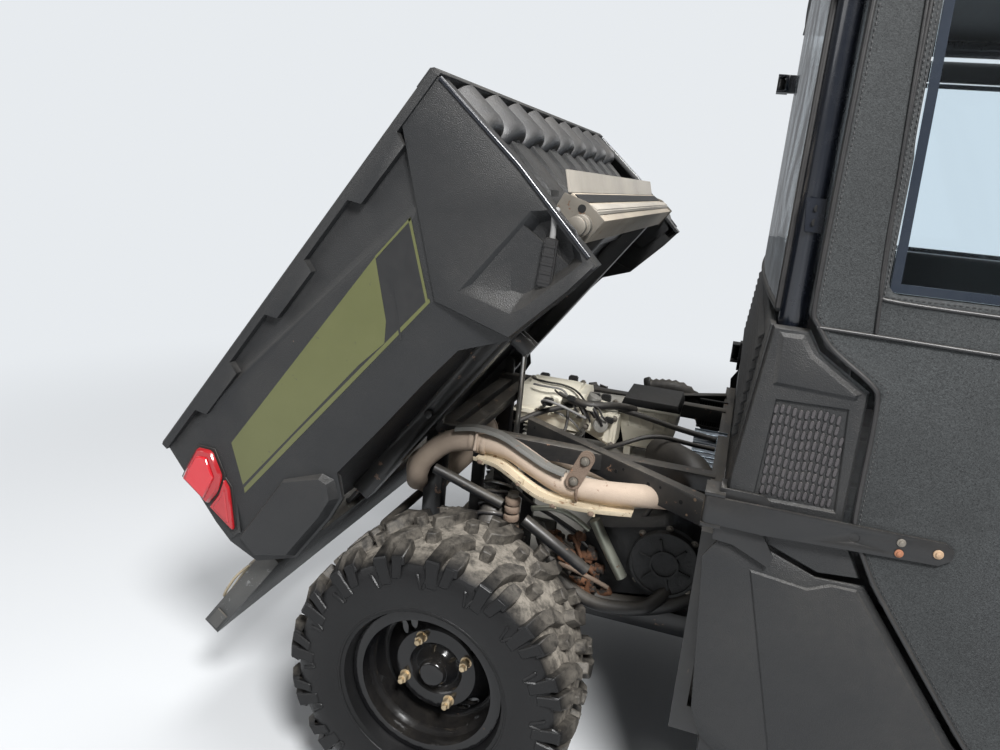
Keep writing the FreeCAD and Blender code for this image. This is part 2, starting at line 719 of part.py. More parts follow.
def side_panel():
    """Left moulded panel between the door and the bed, with its lower rocker part."""
    upper = [(cab_rear_x, 790), (cab_rear_x, 915), (556, 1180), (615, 1180), (636, 1146),
             (722, 1090), (724, 858), (772, 766), (700, 760), (620, 790)]
    lower = [(508, 745), (cab_rear_x, 782), (620, 782), (700, 752), (778, 755), (968, 500), (1090, 400),
             (1120, 335), (620, 335), (560, 380), (536, 430)]
    inner = panel_y - panel_thickness
    plate = draft_y(upper, inner, panel_y, 5)
    insert = [(584, 1054), (694, 1056), (706, 880), (577, 878)]
    plate = plate.cut(draft_y(insert, panel_y - 5, panel_y + 1, -3))
    block = [(566, 1172), (608, 1172), (628, 1142), (712, 1088), (704, 1072), (570, 1078)]
    plate = fuse(plate, draft_y(block, panel_y - 2, panel_y + 6, 9))
    base = slab_y(lower, inner, panel_y - 4)
    # The lower part's outer face starts at a long soft crease and rises to a step along its top.
    face = [(590, 742), (690, 731), (726, 748), (768, 748), (954, 500), (1080, 402), (1104, 352), (690, 352)]
    base = fuse(base, draft_y(face, panel_y - 6, panel_y, 4))
    return [plate, base]


def side_panels():
    """Side panels of both sides."""
    return [piece for shape in side_panel() for piece in both(shape)]


def rockers():
    """Sills below the doors, from the side panel to the front wheel."""
    front = cage_front_x - 27
    sill = box(1125, front, 622, 745, 335, 398)
    step = box(560, front, 622, panel_y - panel_thickness - seat_gap, 335, 380)
    post = rod((cage_rear_x, cage_y, 330), (cage_rear_x, cage_y, 400), cage_radius + seat_gap)
    return both(fuse(sill, step).cut(post))


def cab_rear_panel():
    """Back wall of the cab below the rear window."""
    outline = [(cab_rear_x, 745), (cab_rear_x, 915), (552, 1180), (562, 1180), (cab_rear_x + 10, 915),
               (cab_rear_x + 10, 745)]
    return [slab_y(outline, -734.7, 734.7)]


def seat_box():
    """Moulded base that carries the bench seat."""
    return [slab_y([(600, floor_top), (1080, floor_top), (1130, seat_box_top),
                    (600, seat_box_top)], -600, 600)]


def seat_base():
    """Bench cushion."""
    low = seat_box_top + seat_gap
    return slab_y([(610, low), (1150, low), (1165, 700), (1130, 760), (640, 745), (610, 720)], -590, 590)


def seat_back():
    """Bench back rest."""
    return slab_y([(650, 745.8), (740, 748.5), (695, 1290), (622, 1290), (614, 1250)], -590, 590)


def dashboard():
    """Moulded dash across the cab, in front of the windshield's foot."""
    front = cage_front_x - cage_radius + 4 - seat_gap
    edge = cage_front_x - 185
    outline = [(edge, 930), (edge + 20, 860), (front, 800), (front, 1120), (edge + 120, 1130),
               (edge + 30, 1060)]
    lean = math.radians(column_lean)
    down = V(math.sin(lean), 0, -math.cos(lean))
    centre = V(*wheel_centre)
    tunnel = rod(centre - down * 10, centre + down * 500, column_radius + seat_gap)
    return [slab_y(outline, -640, 640).cut(tunnel)]


def roll_cage():
    """Round tube cage: two side hoops joined across the rear, the roof and the dash."""
    hoop = bent_tube([(cage_rear_x, cage_y, cage_foot_z), (cage_rear_x, cage_y, cage_top),
                      (roof_front_x, cage_y, cage_top), (cage_front_x, cage_y, 1050),
                      (cage_front_x, cage_y, cage_foot_z)], cage_radius, 90)
    cross = []
    for x, z in ((cage_rear_x + 90, cage_top), (roof_front_x - 90, cage_top), (cage_front_x, 960),
                 (cage_rear_x, 1230)):
        cross.append(rod((x, -cage_y, z), (x, cage_y, z), cage_radius - 4))
    bracket = hinge_bracket(strap_high_z, 20.0)
    arm = box(cab_rear_x - 1, cage_rear_x, 706, 730, strap_high_z - 27, strap_high_z + 27)
    upper = fuse(bracket, arm)
    return [fuse(hoop, mirrored(hoop), upper, mirrored(upper), *cross)]


def roof():
    """Moulded roof with rounded edges and two long raised ribs."""
    low = cage_top + cage_radius + seat_gap
    x = roof_front_x
    outline = [(545, low), (x + 65, low), (x + 75, low + 15), (x + 15, low + 40), (600, low + 45),
               (550, low + 25)]
    shell = slab_y(outline, -715, 715)
    for side in (-1, 1):
        cut = slab_x([(side * 716, low + 8), (side * 716, low + 60), (side * 600, low + 60)], 500, x + 100)
        shell = shell.cut(cut)
    grooves = [box(640, x - 10, y - 45, y + 45, low + 34, low + 60) for y in (-330, 0, 330)]
    return [shell.cut(Part.makeCompound(grooves)).Solids[0]]


def windshield():
    """Clear front screen between the cage's front posts."""
    low = V(cage_front_x, 0, 1050)
    up = (V(roof_front_x, 0, cage_top) - low).normalize()
    out = V(up.z, 0, -up.x)
    corners = []
    for along, off in ((95, 0), (835, 0), (835, 5), (95, 5)):
        point = low + up * along + out * (cage_radius + seat_gap + off)
        corners.append((point.x, point.z))
    return slab_y(corners, -712, 712)


def rear_window():
    """Clear rear panel, bowed rearward."""
    edge = cage_rear_x - cage_radius - seat_gap - 4
    arc = Part.Arc(V(edge, -703, 0), V(edge - 20, 0, 0), V(edge, 703, 0)).toShape()
    face = arc.extrude(V(0, 0, 660))
    thick = face.extrude(V(4, 0, 0))
    thick.translate(V(0, 0, 1200))
    return thick


def door_outline():
    """Corners of the door as (x, z), a gap inside the panels round it."""
    front = cage_front_x - 29
    return [(606, 1196 + door_gap), (606, 1835), (roof_front_x - 15, 1835), (front, 1055), (front, 470),
            (front - 26, 406),
            (1100, 406), (976, 508), (784, 764), (732, 862), (730, 1096), (642, 1153), (618, 1190)]


def window_outline():
    """Corners of the door's window opening as (x, z)."""
    return [(715, 1255), (700, 1770), (roof_front_x - 60, 1770), (cage_front_x - 192, 1255)]


def door_panel():
    """Left soft door: a padded sheet with a raised hem round its edge and its window opening."""
    slab = slab_y(door_outline(), door_inner_y, door_outer_y - hem_height)
    hem = slab_y(door_outline(), door_inner_y, door_outer_y)
    hem = hem.cut(slab_y(inset(door_outline(), hem_width), door_inner_y - 1, door_outer_y + 1))
    opening = slab_y(window_outline(), door_inner_y - 5, door_outer_y + 5)
    around = slab_y(inset(window_outline(), -hem_width), door_inner_y, door_outer_y)
    seat = slab_y(strap_seat(), door_inner_y, door_outer_y)
    upper_seat = slab_y([(607, strap_high_z - 30), (640, strap_high_z - 30), (640, strap_high_z + 30),
                         (607, strap_high_z + 30)], door_inner_y, door_outer_y)
    return fuse(slab, hem, around, seat, upper_seat).cut(opening)


def door_window():
    """Clear sheet in the left door's opening."""
    return slab_y(inset(window_outline(), seat_gap), 746, 749)


def strap_outline():
    """Corners of the lower hinge strap as (x, z): deep at the hinge, with a chamfered end."""
    z = strap_low_z
    return [(hinge_x, z - 25), (600, z - 27), (640, z - 25), (872, z - 15), (890, z - 2), (890, z + 14),
            (876, z + 25),
            (640, z + 25), (hinge_x, z + 25)]


def strap_seat():
    """Flat pad of the door under the lower strap, as (x, z)."""
    z = strap_low_z
    return [(770, z - 34), (900, z - 34), (900, z + 36), (748, z + 36)]


def door_hinge():
    """Left door's two steel straps, each with a barrel on its pin; the lower one is dimpled."""
    straps = []
    upper = [(hinge_x, strap_high_z - 20), (690, strap_high_z - 20), (700, strap_high_z - 10),
             (700, strap_high_z + 10), (690, strap_high_z + 20), (hinge_x, strap_high_z + 20)]
    # Columns: height, half height, outline
    for z, half, outline in ((strap_low_z, 25.0, strap_outline()), (strap_high_z, 20.0, upper)):
        barrel = rod((hinge_x, hinge_y, z - half), (hinge_x, hinge_y, z + half), strap_outer_y - hinge_y)
        plate = slab_y(outline, door_outer_y, strap_outer_y)
        bore = rod((hinge_x, hinge_y, z - half - 1), (hinge_x, hinge_y, z + half + 1), hinge_pin_radius + 0.4)
        straps.append(fuse(barrel, plate).cut(bore))
    dimple = rod((742, strap_outer_y - 2, strap_low_z + 4), (742, strap_outer_y + 1, strap_low_z + 4), 9)
    straps[0] = straps[0].cut(dimple)
    return straps


def hinge_bracket(z, half):
    """Two lugs with the hinge pin between them, on a plate that faces the cab's rear."""
    lugs = [box(hinge_x - 11, cab_rear_x, 700, strap_outer_y, low, low + 6) for low in (z - half - 7,
                z + half + 1)]
    plate = box(cab_rear_x - 10, cab_rear_x, 700, 740, z - half - 7, z + half + 7)
    pin = rod((hinge_x, hinge_y, z - half - 7), (hinge_x, hinge_y, z + half + 7), hinge_pin_radius)
    return fuse(plate, pin, *lugs)


def hinge_brackets():
    """Lower door hinge brackets on the cab's rear corners, with their pins."""
    z = strap_low_z
    # The corner plate lies on the side panel, behind the strap, and joins the bracket at the corner.
    wrap = slab_y([(cab_rear_x - 10, z - 58), (556, z - 61), (620, z - 90), (626, z - 70), (604, z - 34),
                   (604, z + 30), (592, z + 40), (cab_rear_x - 10, z + 40)], panel_y + seat_gap, panel_y + 6)
    rear = box(cab_rear_x - 10, cab_rear_x, 700, panel_y + 6, z - 58, z + 40)
    return both(fuse(hinge_bracket(z, 25.0), wrap, rear))


# Front body


def front_body():
    """Moulded nose: fenders on both sides of the hood, the tray under it and the fascia."""
    axle = wheelbase
    top = [(axle - 365, 1118), (axle - 10, 1052), (axle + 260, 930), (axle + 365, 800), (axle + 370, 690),
           (axle + 360, 690), (axle + 355, 798),
           (axle + 253, 922), (axle - 13, 1043), (axle - 365, 1109)]
    fender_top = slab_y(top, 440, 745)
    skirt = [(axle - 365, 1112), (axle - 10, 1048), (axle + 258, 926), (axle + 360, 800), (axle + 365, 690),
             (axle - 355, 690)]
    fender_side = slab_y(skirt, 737, 745)
    back = box(axle - 365, axle - 357, -745, 745, 700, 1110)
    tray = box(axle - 360, axle + 270, -445, 445, 760, 768)
    wall = slab_y([(axle - 360, 760), (axle - 360, 1110), (axle - 13, 1045), (axle + 255, 922),
                   (axle + 355, 798), (axle + 355, 760)], 440, 446)
    nose = slab_y([(axle + 265, 925), (axle + 365, 800), (axle + 370, 690), (axle + 350, 470),
                   (axle + 340, 470), (axle + 360, 690),
                   (axle + 355, 798), (axle + 258, 918)], -440, 440)
    pin = rod((hood_hinge_x, 419, hood_hinge_z), (hood_hinge_x, 441, hood_hinge_z), 4)
    mount = box(axle + 239, axle + 258, -60, 60, 640, 765)
    legs = box(rail_front + seat_gap, axle + 258, -200, 200, rail_bottom + 5, 700)
    return [fuse(fender_top, mirrored(fender_top), fender_side, mirrored(fender_side), back, tray, wall,
                 mirrored(wall), nose, pin, mirrored(pin), mount, legs)]


def hood():
    """Hood that lifts at its front edge, hinged along its rear edge."""
    axle = wheelbase
    outline = [(axle - 340, 1115), (axle - 10, 1053), (axle + 245, 938), (axle + 241, 929),
               (axle - 13, 1044), (axle - 342, 1106)]
    barrel = rod((hood_hinge_x, 421, hood_hinge_z), (hood_hinge_x, 433, hood_hinge_z), 8)
    bore = rod((hood_hinge_x, 400, hood_hinge_z), (hood_hinge_x, 450, hood_hinge_z), 4 + seat_gap)
    panel = slab_y(outline, -433, 433)
    for side in (1, -1):
        end = barrel if side > 0 else mirrored(barrel)
        hole = bore if side > 0 else mirrored(bore)
        panel = fuse(panel, end).cut(hole)
    return [panel]


def grille():
    """Slatted grille in the fascia."""
    axle = wheelbase
    # The fascia leans back by 20 mm over its 220 mm of height.
    lean = 20.0 / 220.0
    low = (axle + 350 + seat_gap + 90 * lean, 560)
    high = (axle + 350 + seat_gap + 215 * lean, 685)
    frame = slab_y([low, (low[0] + 9, low[1]), (high[0] + 9, high[1]), high], -300, 300)
    for k in range(4):
        z = 572 + 28 * k
        frame = frame.cut(box(axle + 355, axle + 390, -280, 280, z, z + 14))
    return [frame]


def headlamps():
    """Headlamp on each side of the nose."""
    axle = wheelbase
    slope = (V(axle + 365, 0, 800) - V(axle + 260, 0, 930)).normalize()
    out = V(-slope.z, 0, slope.x)
    start = V(axle + 260, 0, 930)
    corners = []
    for along, off in ((12, seat_gap), (150, seat_gap), (145, 12), (18, 12)):
        point = start + slope * along + out * off
        corners.append((point.x, point.z))
    lamp = slab_y(corners, 460, 690)
    return both(lamp)


def front_bumper():
    """Tube bumper ahead of the nose, on two struts from the lower rails."""
    axle = wheelbase
    bar = bent_tube([(axle + 395, -420, 720), (axle + 415, -420, 450), (axle + 415, 420, 450),
                     (axle + 395, 420, 720)], 19, 60)
    strut = bent_tube([(rail_front + seat_gap, rail_y, 320), (axle + 320, rail_y, 320),
                       (axle + 415, rail_y, 450)], 16, 40)
    return [fuse(bar, strut, mirrored(strut))]


# Dump bed


def bed_outline():
    """Corners of the bed's outer skin as (x, z), lowered."""
    return [(-514, 1130), (489, 1130), (472, 912), (437, 692), (370, 697), (221, 720), (136, 780), (39, 788),
            (-94, 793), (-254, 802), (-295, 757), (-352, 749), (-492, 748), (-572, 809), (-580, 882)]


def bed_box():
    """Moulded tub: floor, two side walls and the headboard with its deep round corrugations."""
    y = bed_inner_half + bed_wall
    low = bed_floor_top - bed_wall
    floor = box(bed_floor_rear, bed_floor_front + 5, -y, y, low, bed_floor_top)
    front_top = bed_floor_front + headboard_lean
    side = slab_y([(bed_floor_rear, low), (bed_floor_front, low), (front_top, bed_wall_top),
                   (bed_floor_rear + 30, bed_wall_top)], bed_inner_half, y)
    head = slab_y([(bed_floor_front, low), (bed_floor_front + bed_wall, low),
                   (front_top + bed_wall, bed_wall_top), (front_top, bed_wall_top)], -y, y)
    slope = headboard_lean / (bed_wall_top - low)
    ribs = []
    hollows = []
    for k in range(rib_count):
        rib_y = (k - (rib_count - 1) / 2) * rib_pitch
        # The upper rib bulges out of the panel and ends in a round nose; a flat one runs on below it.
        nose_z = 1072.0
        for radius, made in ((rib_radius, ribs), (rib_radius - 8, hollows)):
            nose_x = bed_floor_front + (nose_z - low) * slope - 12
            top_x = front_top - 12
            made.append(rod((nose_x, rib_y, nose_z), (top_x, rib_y, bed_wall_top), radius))
            made.append(Part.makeSphere(radius, V(nose_x, rib_y, nose_z)))
        flat_x = bed_floor_front + (880 - low) * slope + bed_wall - 2
        flat_top = bed_floor_front + (1060 - low) * slope + bed_wall - 2
        ribs.append(slab_y([(flat_x, 880), (flat_x + 12, 892), (flat_top + 12, 1060), (flat_top, 1060)],
                           rib_y - 34, rib_y + 34))
    tub = fuse(floor, side, mirrored(side), head, *ribs)
    above = box(bed_floor_front - 200, 600, -y, y, bed_wall_top, 1300)
    inside = slab_y([(bed_floor_rear - 5, bed_floor_top), (bed_floor_front, bed_floor_top),
                     (front_top, bed_wall_top + 5), (bed_floor_rear - 5, bed_wall_top + 5)],
                    -bed_inner_half, bed_inner_half)
    below = box(bed_floor_rear, 600, -y, y, bed_floor_top, bed_wall_top + 5)
    return [raised(tub.cut(above).cut(inside).cut(Part.makeCompound(hollows).common(below)).Solids[0])]


def bed_skin_shell():
    """Left skin's middle: a folded sheet whose creases run from the rear to the front of the bed."""
    rings = []
    # Columns: x of the section, z of the upper crease, z of the lower crease
    for x, upper, lower in ((-600.0, 1142.0, 935.0), (400.0, 999.0, 854.0)):
        face = bed_skin_y
        outer = [(face - 8, 1165), (face - 8, upper + 8), (face, upper - 6), (face, lower), (face - 27, 690)]
        inner = [(y - bed_skin, z) for y, z in reversed(outer)]
        corners = [V(x, y, z) for y, z in outer + inner]
        rings.append(Part.makePolygon(corners + corners[:1]))
    front = Part.makeLoft(rings, True, True)
    return front.common(slab_y(bed_outline(), bed_inner_half, cheek_y + 20))


def bed_cheek():
    """Raised front of the left skin, with the deep faceted pocket round the bed's latch handle."""
    base = [(370, 1130), (cheek_front, 1130), (472, 912), (437, 692), (370, 697), (221, 720), (165, 873),
            (275, 1013)]
    face = [(384, 1128), (486, 1128), (469, 912), (435, 696), (372, 701), (232, 724), (182, 872), (289, 1008)]
    outer = loft_y(base, pocket_y - bed_skin, face, cheek_y)
    hollow = loft_y(inset(base, bed_skin), pocket_y - bed_skin - 1, inset(face, bed_skin), cheek_y - bed_skin)
    mouth = [(225, 851), (429, 844), (458, 814), (455, 762), (426, 714), (398, 718), (291, 738), (264, 750)]
    floor = [(315, 819), (420, 822), (440, 806), (438, 764), (416, 734), (400, 734), (323, 757), (318, 762)]
    lining = loft_y(inset(mouth, -bed_skin / 2), cheek_y - 3, inset(floor, -bed_skin), pocket_y - bed_skin)
    pocket = loft_y(floor, pocket_y, mouth, cheek_y + 1)
    return fuse(outer.cut(hollow), lining).cut(pocket)


def bed_skins():
    """Outer side skins with the cap that runs round the top of the tub."""
    corner = [(-560, 885), (-352, 892), (-270, 830), (-262, 795), (-295, 757), (-352, 749), (-492, 748),
              (-568, 812)]
    bulge = draft_y(corner, bed_skin_y - 30, cheek_y, 18).cut(draft_y(inset(corner, 8),
                    bed_skin_y - 31, cheek_y - 8, 18))
    lamp_seat = slab_y([(-574, 885), (-468, 1085), (-424, 1046), (-456, 952),
                        (-536, 876)], bed_skin_y - 12, bed_skin_y)
    turned_in = slab_y([(cheek_front, 1130), (472, 912), (437, 692), (428, 693), (463, 913), (480, 1130)],
                       bed_inner_half + bed_wall, cheek_y - 1)
    side = fuse(bed_skin_shell(), bed_cheek(), bulge, lamp_seat, turned_in)
    cap = slab_x([(bed_inner_half, bed_wall_top), (bed_cap_y + 4, bed_wall_top),
                  (bed_cap_y + 4, bed_cap_top - 6),
                  (bed_cap_y - 4, bed_cap_top), (bed_inner_half, bed_cap_top)], -514, cheek_front)
    lips = []
    # Columns: rear end and front end of each deep part of the cap's edge
    for rear, front in ((-385.0, -235.0), (-95.0, 55.0), (206.0, 366.0)):
        lips.append(slab_y([(rear, bed_wall_top + 1), (rear + 14, bed_wall_top - 26),
                            (front - 8, bed_wall_top - 26),
                            (front, bed_wall_top + 1)], bed_skin_y - 14, bed_cap_y + 4))
    front_cap = slab_y([(cheek_front - 40, bed_wall_top), (cheek_front + 6, bed_wall_top),
                        (cheek_front + 6, bed_cap_top - 6), (cheek_front, bed_cap_top),
                         (cheek_front - 40, bed_cap_top)],
                       -bed_cap_y, bed_cap_y)
    left = fuse(side, cap, *lips)
    return [raised(fuse(left, mirrored(left), front_cap))]


def bed_subframe():
    """Steel frame below the tub: two rails that turn on the hinge pins, and cross members."""
    low = bed_rail_bottom
    top = bed_floor_top - bed_wall
    half = bed_rail_width / 2
    rail = box(-500, channel_rear - seat_gap, bed_rail_y - half, bed_rail_y + half, low, top)
    bore = rod((bed_pivot_x, bed_rail_y - half - 1, bed_pivot_z),
               (bed_pivot_x, bed_rail_y + half + 1, bed_pivot_z),
               bed_pin_radius + 0.4)
    rail = rail.cut(bore)
    pieces = both(rail)
    for x in (-500.0, 55.0, 335.0):
        pieces.append(box(x, x + 40, -bed_rail_y, bed_rail_y, top - bed_cross_height, top))
    for y in (strut_y - 17, strut_y + 12):
        ear = box(strut_head_x - 20, strut_head_x + 20, y, y + 5, strut_head_z - 20, top)
        pieces.append(ear)
    for y in gate_hinges:
        for sign in (1, -1):
            for near in (y - 43, y + 19):
                span = sorted((sign * near, sign * (near + 24)))
                web = box(tailgate_hinge_x, -495, span[0], span[1], tailgate_hinge_z - 6,
                          tailgate_hinge_z + 4)
                end = rod((tailgate_hinge_x, span[0], tailgate_hinge_z),
                          (tailgate_hinge_x, span[1], tailgate_hinge_z), gate_barrel)
                pieces += [web, end]
            pieces.append(rod((tailgate_hinge_x, sign * (y - 30), tailgate_hinge_z),
                              (tailgate_hinge_x, sign * (y + 30), tailgate_hinge_z), gate_pin))
    return [raised(fuse(*pieces))]


def headboard_channel():
    """Pressed cross channel under the headboard, with a round tube through it."""
    x = channel_rear
    outline = [(x, 755), (x + 57, 755), (x + 57, 835), (x + 50, 835), (x + 50, 762), (x + 7, 762),
               (x + 7, 830),
               (x, 830)]
    channel = slab_y(outline, -600, 600)
    tube = rod((x + 28.5, -660, 776.8), (x + 28.5, 660, 776.8), 15)
    return [raised(fuse(channel, tube))]


def tail_lamps():
    """Tail lamp at each rear corner of the bed: an upper and a lower faceted lens."""
    upper = [(-500, 1012), (-459, 1069), (-437, 1042), (-462, 978), (-520, 968)]
    lower = [(-563, 904), (-523, 962), (-464, 972), (-470, 960), (-540, 890)]
    lenses = []
    for outline, ridge in ((upper, (-470, 1020)), (lower, (-528, 928))):
        top = [(ridge[0] + (x - ridge[0]) * 0.45, ridge[1] + (z - ridge[1]) * 0.45) for x, z in outline]
        lenses.append(fuse(slab_y(outline, bed_skin_y + 0.3, bed_skin_y + 6),
                      loft_y(outline, bed_skin_y + 6, top, bed_skin_y + 15)))
    return [raised(piece) for lens in lenses for piece in both(lens)]


def tailgate():
    """Tailgate, open flat behind the bed, with its hinge tube."""
    front = tailgate_hinge_x - 10
    panel = box(front - tailgate_height, front, -tailgate_half, tailgate_half,
                bed_floor_top - tailgate_thickness, bed_floor_top)
    for y in gate_hinges:
        for sign in (1, -1):
            barrel = rod((tailgate_hinge_x, sign * (y - 18), tailgate_hinge_z),
                         (tailgate_hinge_x, sign * (y + 18), tailgate_hinge_z), gate_barrel)
            span = sorted((sign * (y - 18), sign * (y + 18)))
            link = box(front - 3, tailgate_hinge_x, span[0], span[1], tailgate_hinge_z - 5,
                       tailgate_hinge_z + 5)
            bore = rod((tailgate_hinge_x, sign * (y - 30), tailgate_hinge_z),
                       (tailgate_hinge_x, sign * (y + 30), tailgate_hinge_z), gate_pin + seat_gap)
            panel = fuse(panel, barrel, link).cut(bore)
    return [raised(panel)]


# Strut


def along_strut(shape):
    """Lay a piece that stands on the origin along the strut, as it is with the bed raised."""
    arm_x = strut_head_x - bed_pivot_x
    arm_z = strut_head_z - bed_pivot_z
    tilt = math.radians(bed_tilt)
    head_x = bed_pivot_x + arm_x * math.cos(tilt) - arm_z * math.sin(tilt)
    head_z = bed_pivot_z + arm_x * math.sin(tilt) + arm_z * math.cos(tilt)
    lean = math.degrees(math.atan2(head_x - strut_foot_x, head_z - strut_foot_z))
    placed = shape.copy()
    placed.rotate(V(0, 0, 0), V(0, 1, 0), lean)
    placed.translate(V(strut_foot_x, strut_y, strut_foot_z))
    return placed, math.hypot(head_x - strut_foot_x, head_z - strut_foot_z)


def strut_barrel():
    """Gas strut's barrel, on the frame's foot pin."""
    eye = rod((0, -11, 0), (0, 11, 0), strut_eye_radius)
    neck = rod((0, 0, 10), (0, 0, 24), 9)
    body = rod((0, 0, 22), (0, 0, strut_barrel_length), strut_barrel_radius)
    bore = rod((0, 0, 28), (0, 0, strut_barrel_length + 1), strut_rod_radius + seat_gap)
    pin = rod((0, -12, 0), (0, 12, 0), 6.4)
    return [along_strut(fuse(eye, neck, body).cut(bore).cut(pin))[0]]


def strut_rod():
    """Gas strut's rod, with an eye that ends on the bed's ears."""
    length = along_strut(Part.makeBox(1, 1, 1))[1]
    eye = rod((0, -9, length), (0, 9, length), strut_eye_radius)
    pin = rod((0, -11, length), (0, 11, length), 6)
    bar = rod((0, 0, length - strut_rod_length), (0, 0, length), strut_rod_radius)
    return [along_strut(fuse(eye, bar, pin))[0]]


def all_nodes():
    """Every piece by its name."""
    nodes = {
        "main_frame": main_frame(),
        "skid_plate": skid_plate(),
        "floor_pan": floor_pan(),
        "engine": engine(),
        "valve_cover": valve_cover(),
        "airbox": airbox(),
        "airbox_lid": airbox_lid(),
        "clutch_housing": clutch_housing(),
        "transaxle": transaxle(),
        "exhaust": exhaust(),
        "heat_shield": heat_shield(),
        "suspension_arms": suspension_arms() + rear_knuckles(),
        "shocks": shocks(),
        "driveline": driveline(),
        "stabilizer_bar": stabilizer_bar(),
        "side_panels": side_panels(),
        "rockers": rockers(),
        "cab_rear_panel": cab_rear_panel(),
        "seat_box": seat_box(),
        "seat": [seat_base(), seat_back()],
        "dashboard": dashboard(),
        "roll_cage": roll_cage(),
        "roof": roof(),
        "cab_windows": [windshield(), rear_window()],
        "hinge_brackets": hinge_brackets(),
        "front_body": front_body(),
        "hood": hood(),
        "grille": grille(),
        "headlamps": headlamps(),
        "front_bumper": front_bumper(),
        "bed_box": bed_box(),
        "bed_skins": bed_skins(),
        "bed_subframe": bed_subframe(),
        "headboard_channel": headboard_channel(),
        "tail_lamps": tail_lamps(),
        "tailgate": tailgate(),
        "strut_barrel": strut_barrel(),
        "strut_rod": strut_rod(),
        "steering_rack": steering_rack(),
        "steering_column": [steering_column(), rack_housing()],
        "steering_wheel": steering_wheel(),
    }
    nodes.update(wheel_set())
    left = {"knuckle_front": [front_knuckle()], "door_panel": [door_panel()],
            "door_window": [door_window()], "door_hinge": door_hinge()}
    for name, shapes in left.items():
        nodes[name + "_left"] = shapes
        nodes[name + "_right"] = [mirrored(shape) for shape in shapes]
    return nodes


def write_all():
    """Move each piece into the part's frame and write it."""
    os.makedirs("parts", exist_ok=True)
    for name, shapes in all_nodes().items():
        solids = []
        for shape in shapes:
            placed = shape.copy()
            placed.translate(V(-origin_ahead_of_axle, 0, tyre_radius - axle_z))
            solids += placed.Solids
        whole = solids[0] if len(solids) == 1 else Part.makeCompound(solids)
        whole.exportStep(f"parts/{name}.step")
        extent = whole.BoundBox
        valid = all(solid.isValid() for solid in solids)
        print(f"{name:22s} solids {len(solids)} valid {valid} x {extent.XMin:.0f}..{extent.XMax:.0f}"
              f" y {extent.YMin:.0f}..{extent.YMax:.0f} z {extent.ZMin:.0f}..{extent.ZMax:.0f}")


write_all()
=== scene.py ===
import bpy, bmesh, math
from mathutils import Matrix, Vector, noise


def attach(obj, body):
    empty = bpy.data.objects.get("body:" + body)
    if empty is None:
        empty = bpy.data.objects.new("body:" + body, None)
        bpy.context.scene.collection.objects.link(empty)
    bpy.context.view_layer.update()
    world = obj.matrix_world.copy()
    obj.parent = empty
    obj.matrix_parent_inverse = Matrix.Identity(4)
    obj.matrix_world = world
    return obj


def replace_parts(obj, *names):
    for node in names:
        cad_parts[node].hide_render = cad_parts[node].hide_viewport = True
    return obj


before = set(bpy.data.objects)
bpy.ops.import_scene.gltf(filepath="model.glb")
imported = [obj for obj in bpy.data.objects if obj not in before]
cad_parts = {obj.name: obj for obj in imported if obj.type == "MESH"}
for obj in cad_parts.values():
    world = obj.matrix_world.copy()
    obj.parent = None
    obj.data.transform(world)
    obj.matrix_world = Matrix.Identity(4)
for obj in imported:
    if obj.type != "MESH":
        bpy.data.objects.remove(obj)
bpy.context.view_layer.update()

# Camera, at the photograph's viewing angle: behind the right side, a little above the bed's
# hinge, tilted down and rolled. Its place and turn were worked out from the vehicle's own points.
bpy.ops.object.select_all(action="DESELECT")
yaw = math.radians(16.904)
pitch = math.radians(14.597)
roll = math.radians(5.416)
bpy.ops.object.camera_add(location=(-0.4029, -2.0746, 1.3780))
camera = bpy.context.object
tilt = Matrix.Rotation(math.pi / 2 - pitch, 4, "X")
turn = Matrix.Rotation(yaw, 4, "Z") @ tilt @ Matrix.Rotation(roll, 4, "Z")
camera.matrix_world = Matrix.Translation(camera.location) @ turn
camera.data.sensor_width = 36.0
camera.data.lens = 27.742
camera.data.clip_start = 0.01
bpy.context.scene.camera = camera
bpy.context.scene.view_settings.view_transform = "Standard"


# Studio floor: one large pale sheet that keeps the vehicle's shadow and looks the same
# pale grey as the backdrop where only the camera sees it.
def shaded(name, values):
    """A new material with its shader's own values; returns it, its tree and its shader."""
    material = bpy.data.materials.new(name)
    material.use_nodes = True
    shader = material.node_tree.nodes["Principled BSDF"]
    for label, value in values.items():
        shader.inputs[label].default_value = value
    return material, material.node_tree, shader


def wire(tree, kind, inputs=None, out=0, **settings):
    """A node with its settings and its inputs, values or sockets to link from; returns one output."""
    node = tree.nodes.new("ShaderNode" + kind)
    for key, value in settings.items():
        setattr(node, key, value)
    for key, value in (inputs or {}).items():
        if isinstance(value, bpy.types.NodeSocket):
            tree.links.new(value, node.inputs[key])
        else:
            node.inputs[key].default_value = value
    return node.outputs[out]


def maths(tree, how, *values, **settings):
    """A sum, product or other result of numbers and sockets."""
    return wire(tree, "Math", dict(enumerate(values)), operation=how, **settings)


backdrop = (0.80, 0.83, 0.86, 1)
bpy.ops.mesh.primitive_grid_add(x_subdivisions=2, y_subdivisions=2, size=60, location=(0, 0, -0.0005))
floor = bpy.context.object
floor.name = "studio_floor"
sheet = {"Base Color": (0.47, 0.48, 0.49, 1), "Roughness": 0.85, "Specular IOR Level": 0.2}
pale_floor, tree, shader = shaded("pale_floor", sheet)
floor.data.materials.append(pale_floor)
reach = wire(tree, "VectorMath", {0: wire(tree, "TexCoord", out="Object")}, "Value", operation="LENGTH")
fade = wire(tree, "MapRange", {"Value": reach, "From Min": 1.6, "From Max": 5.0},
            interpolation_type="SMOOTHSTEP")
seen = maths(tree, "MULTIPLY", fade, wire(tree, "LightPath", out="Is Camera Ray"))
pale = wire(tree, "Emission", {"Color": backdrop})
both = wire(tree, "MixShader", {"Fac": seen, 1: shader.outputs[0], 2: pale})
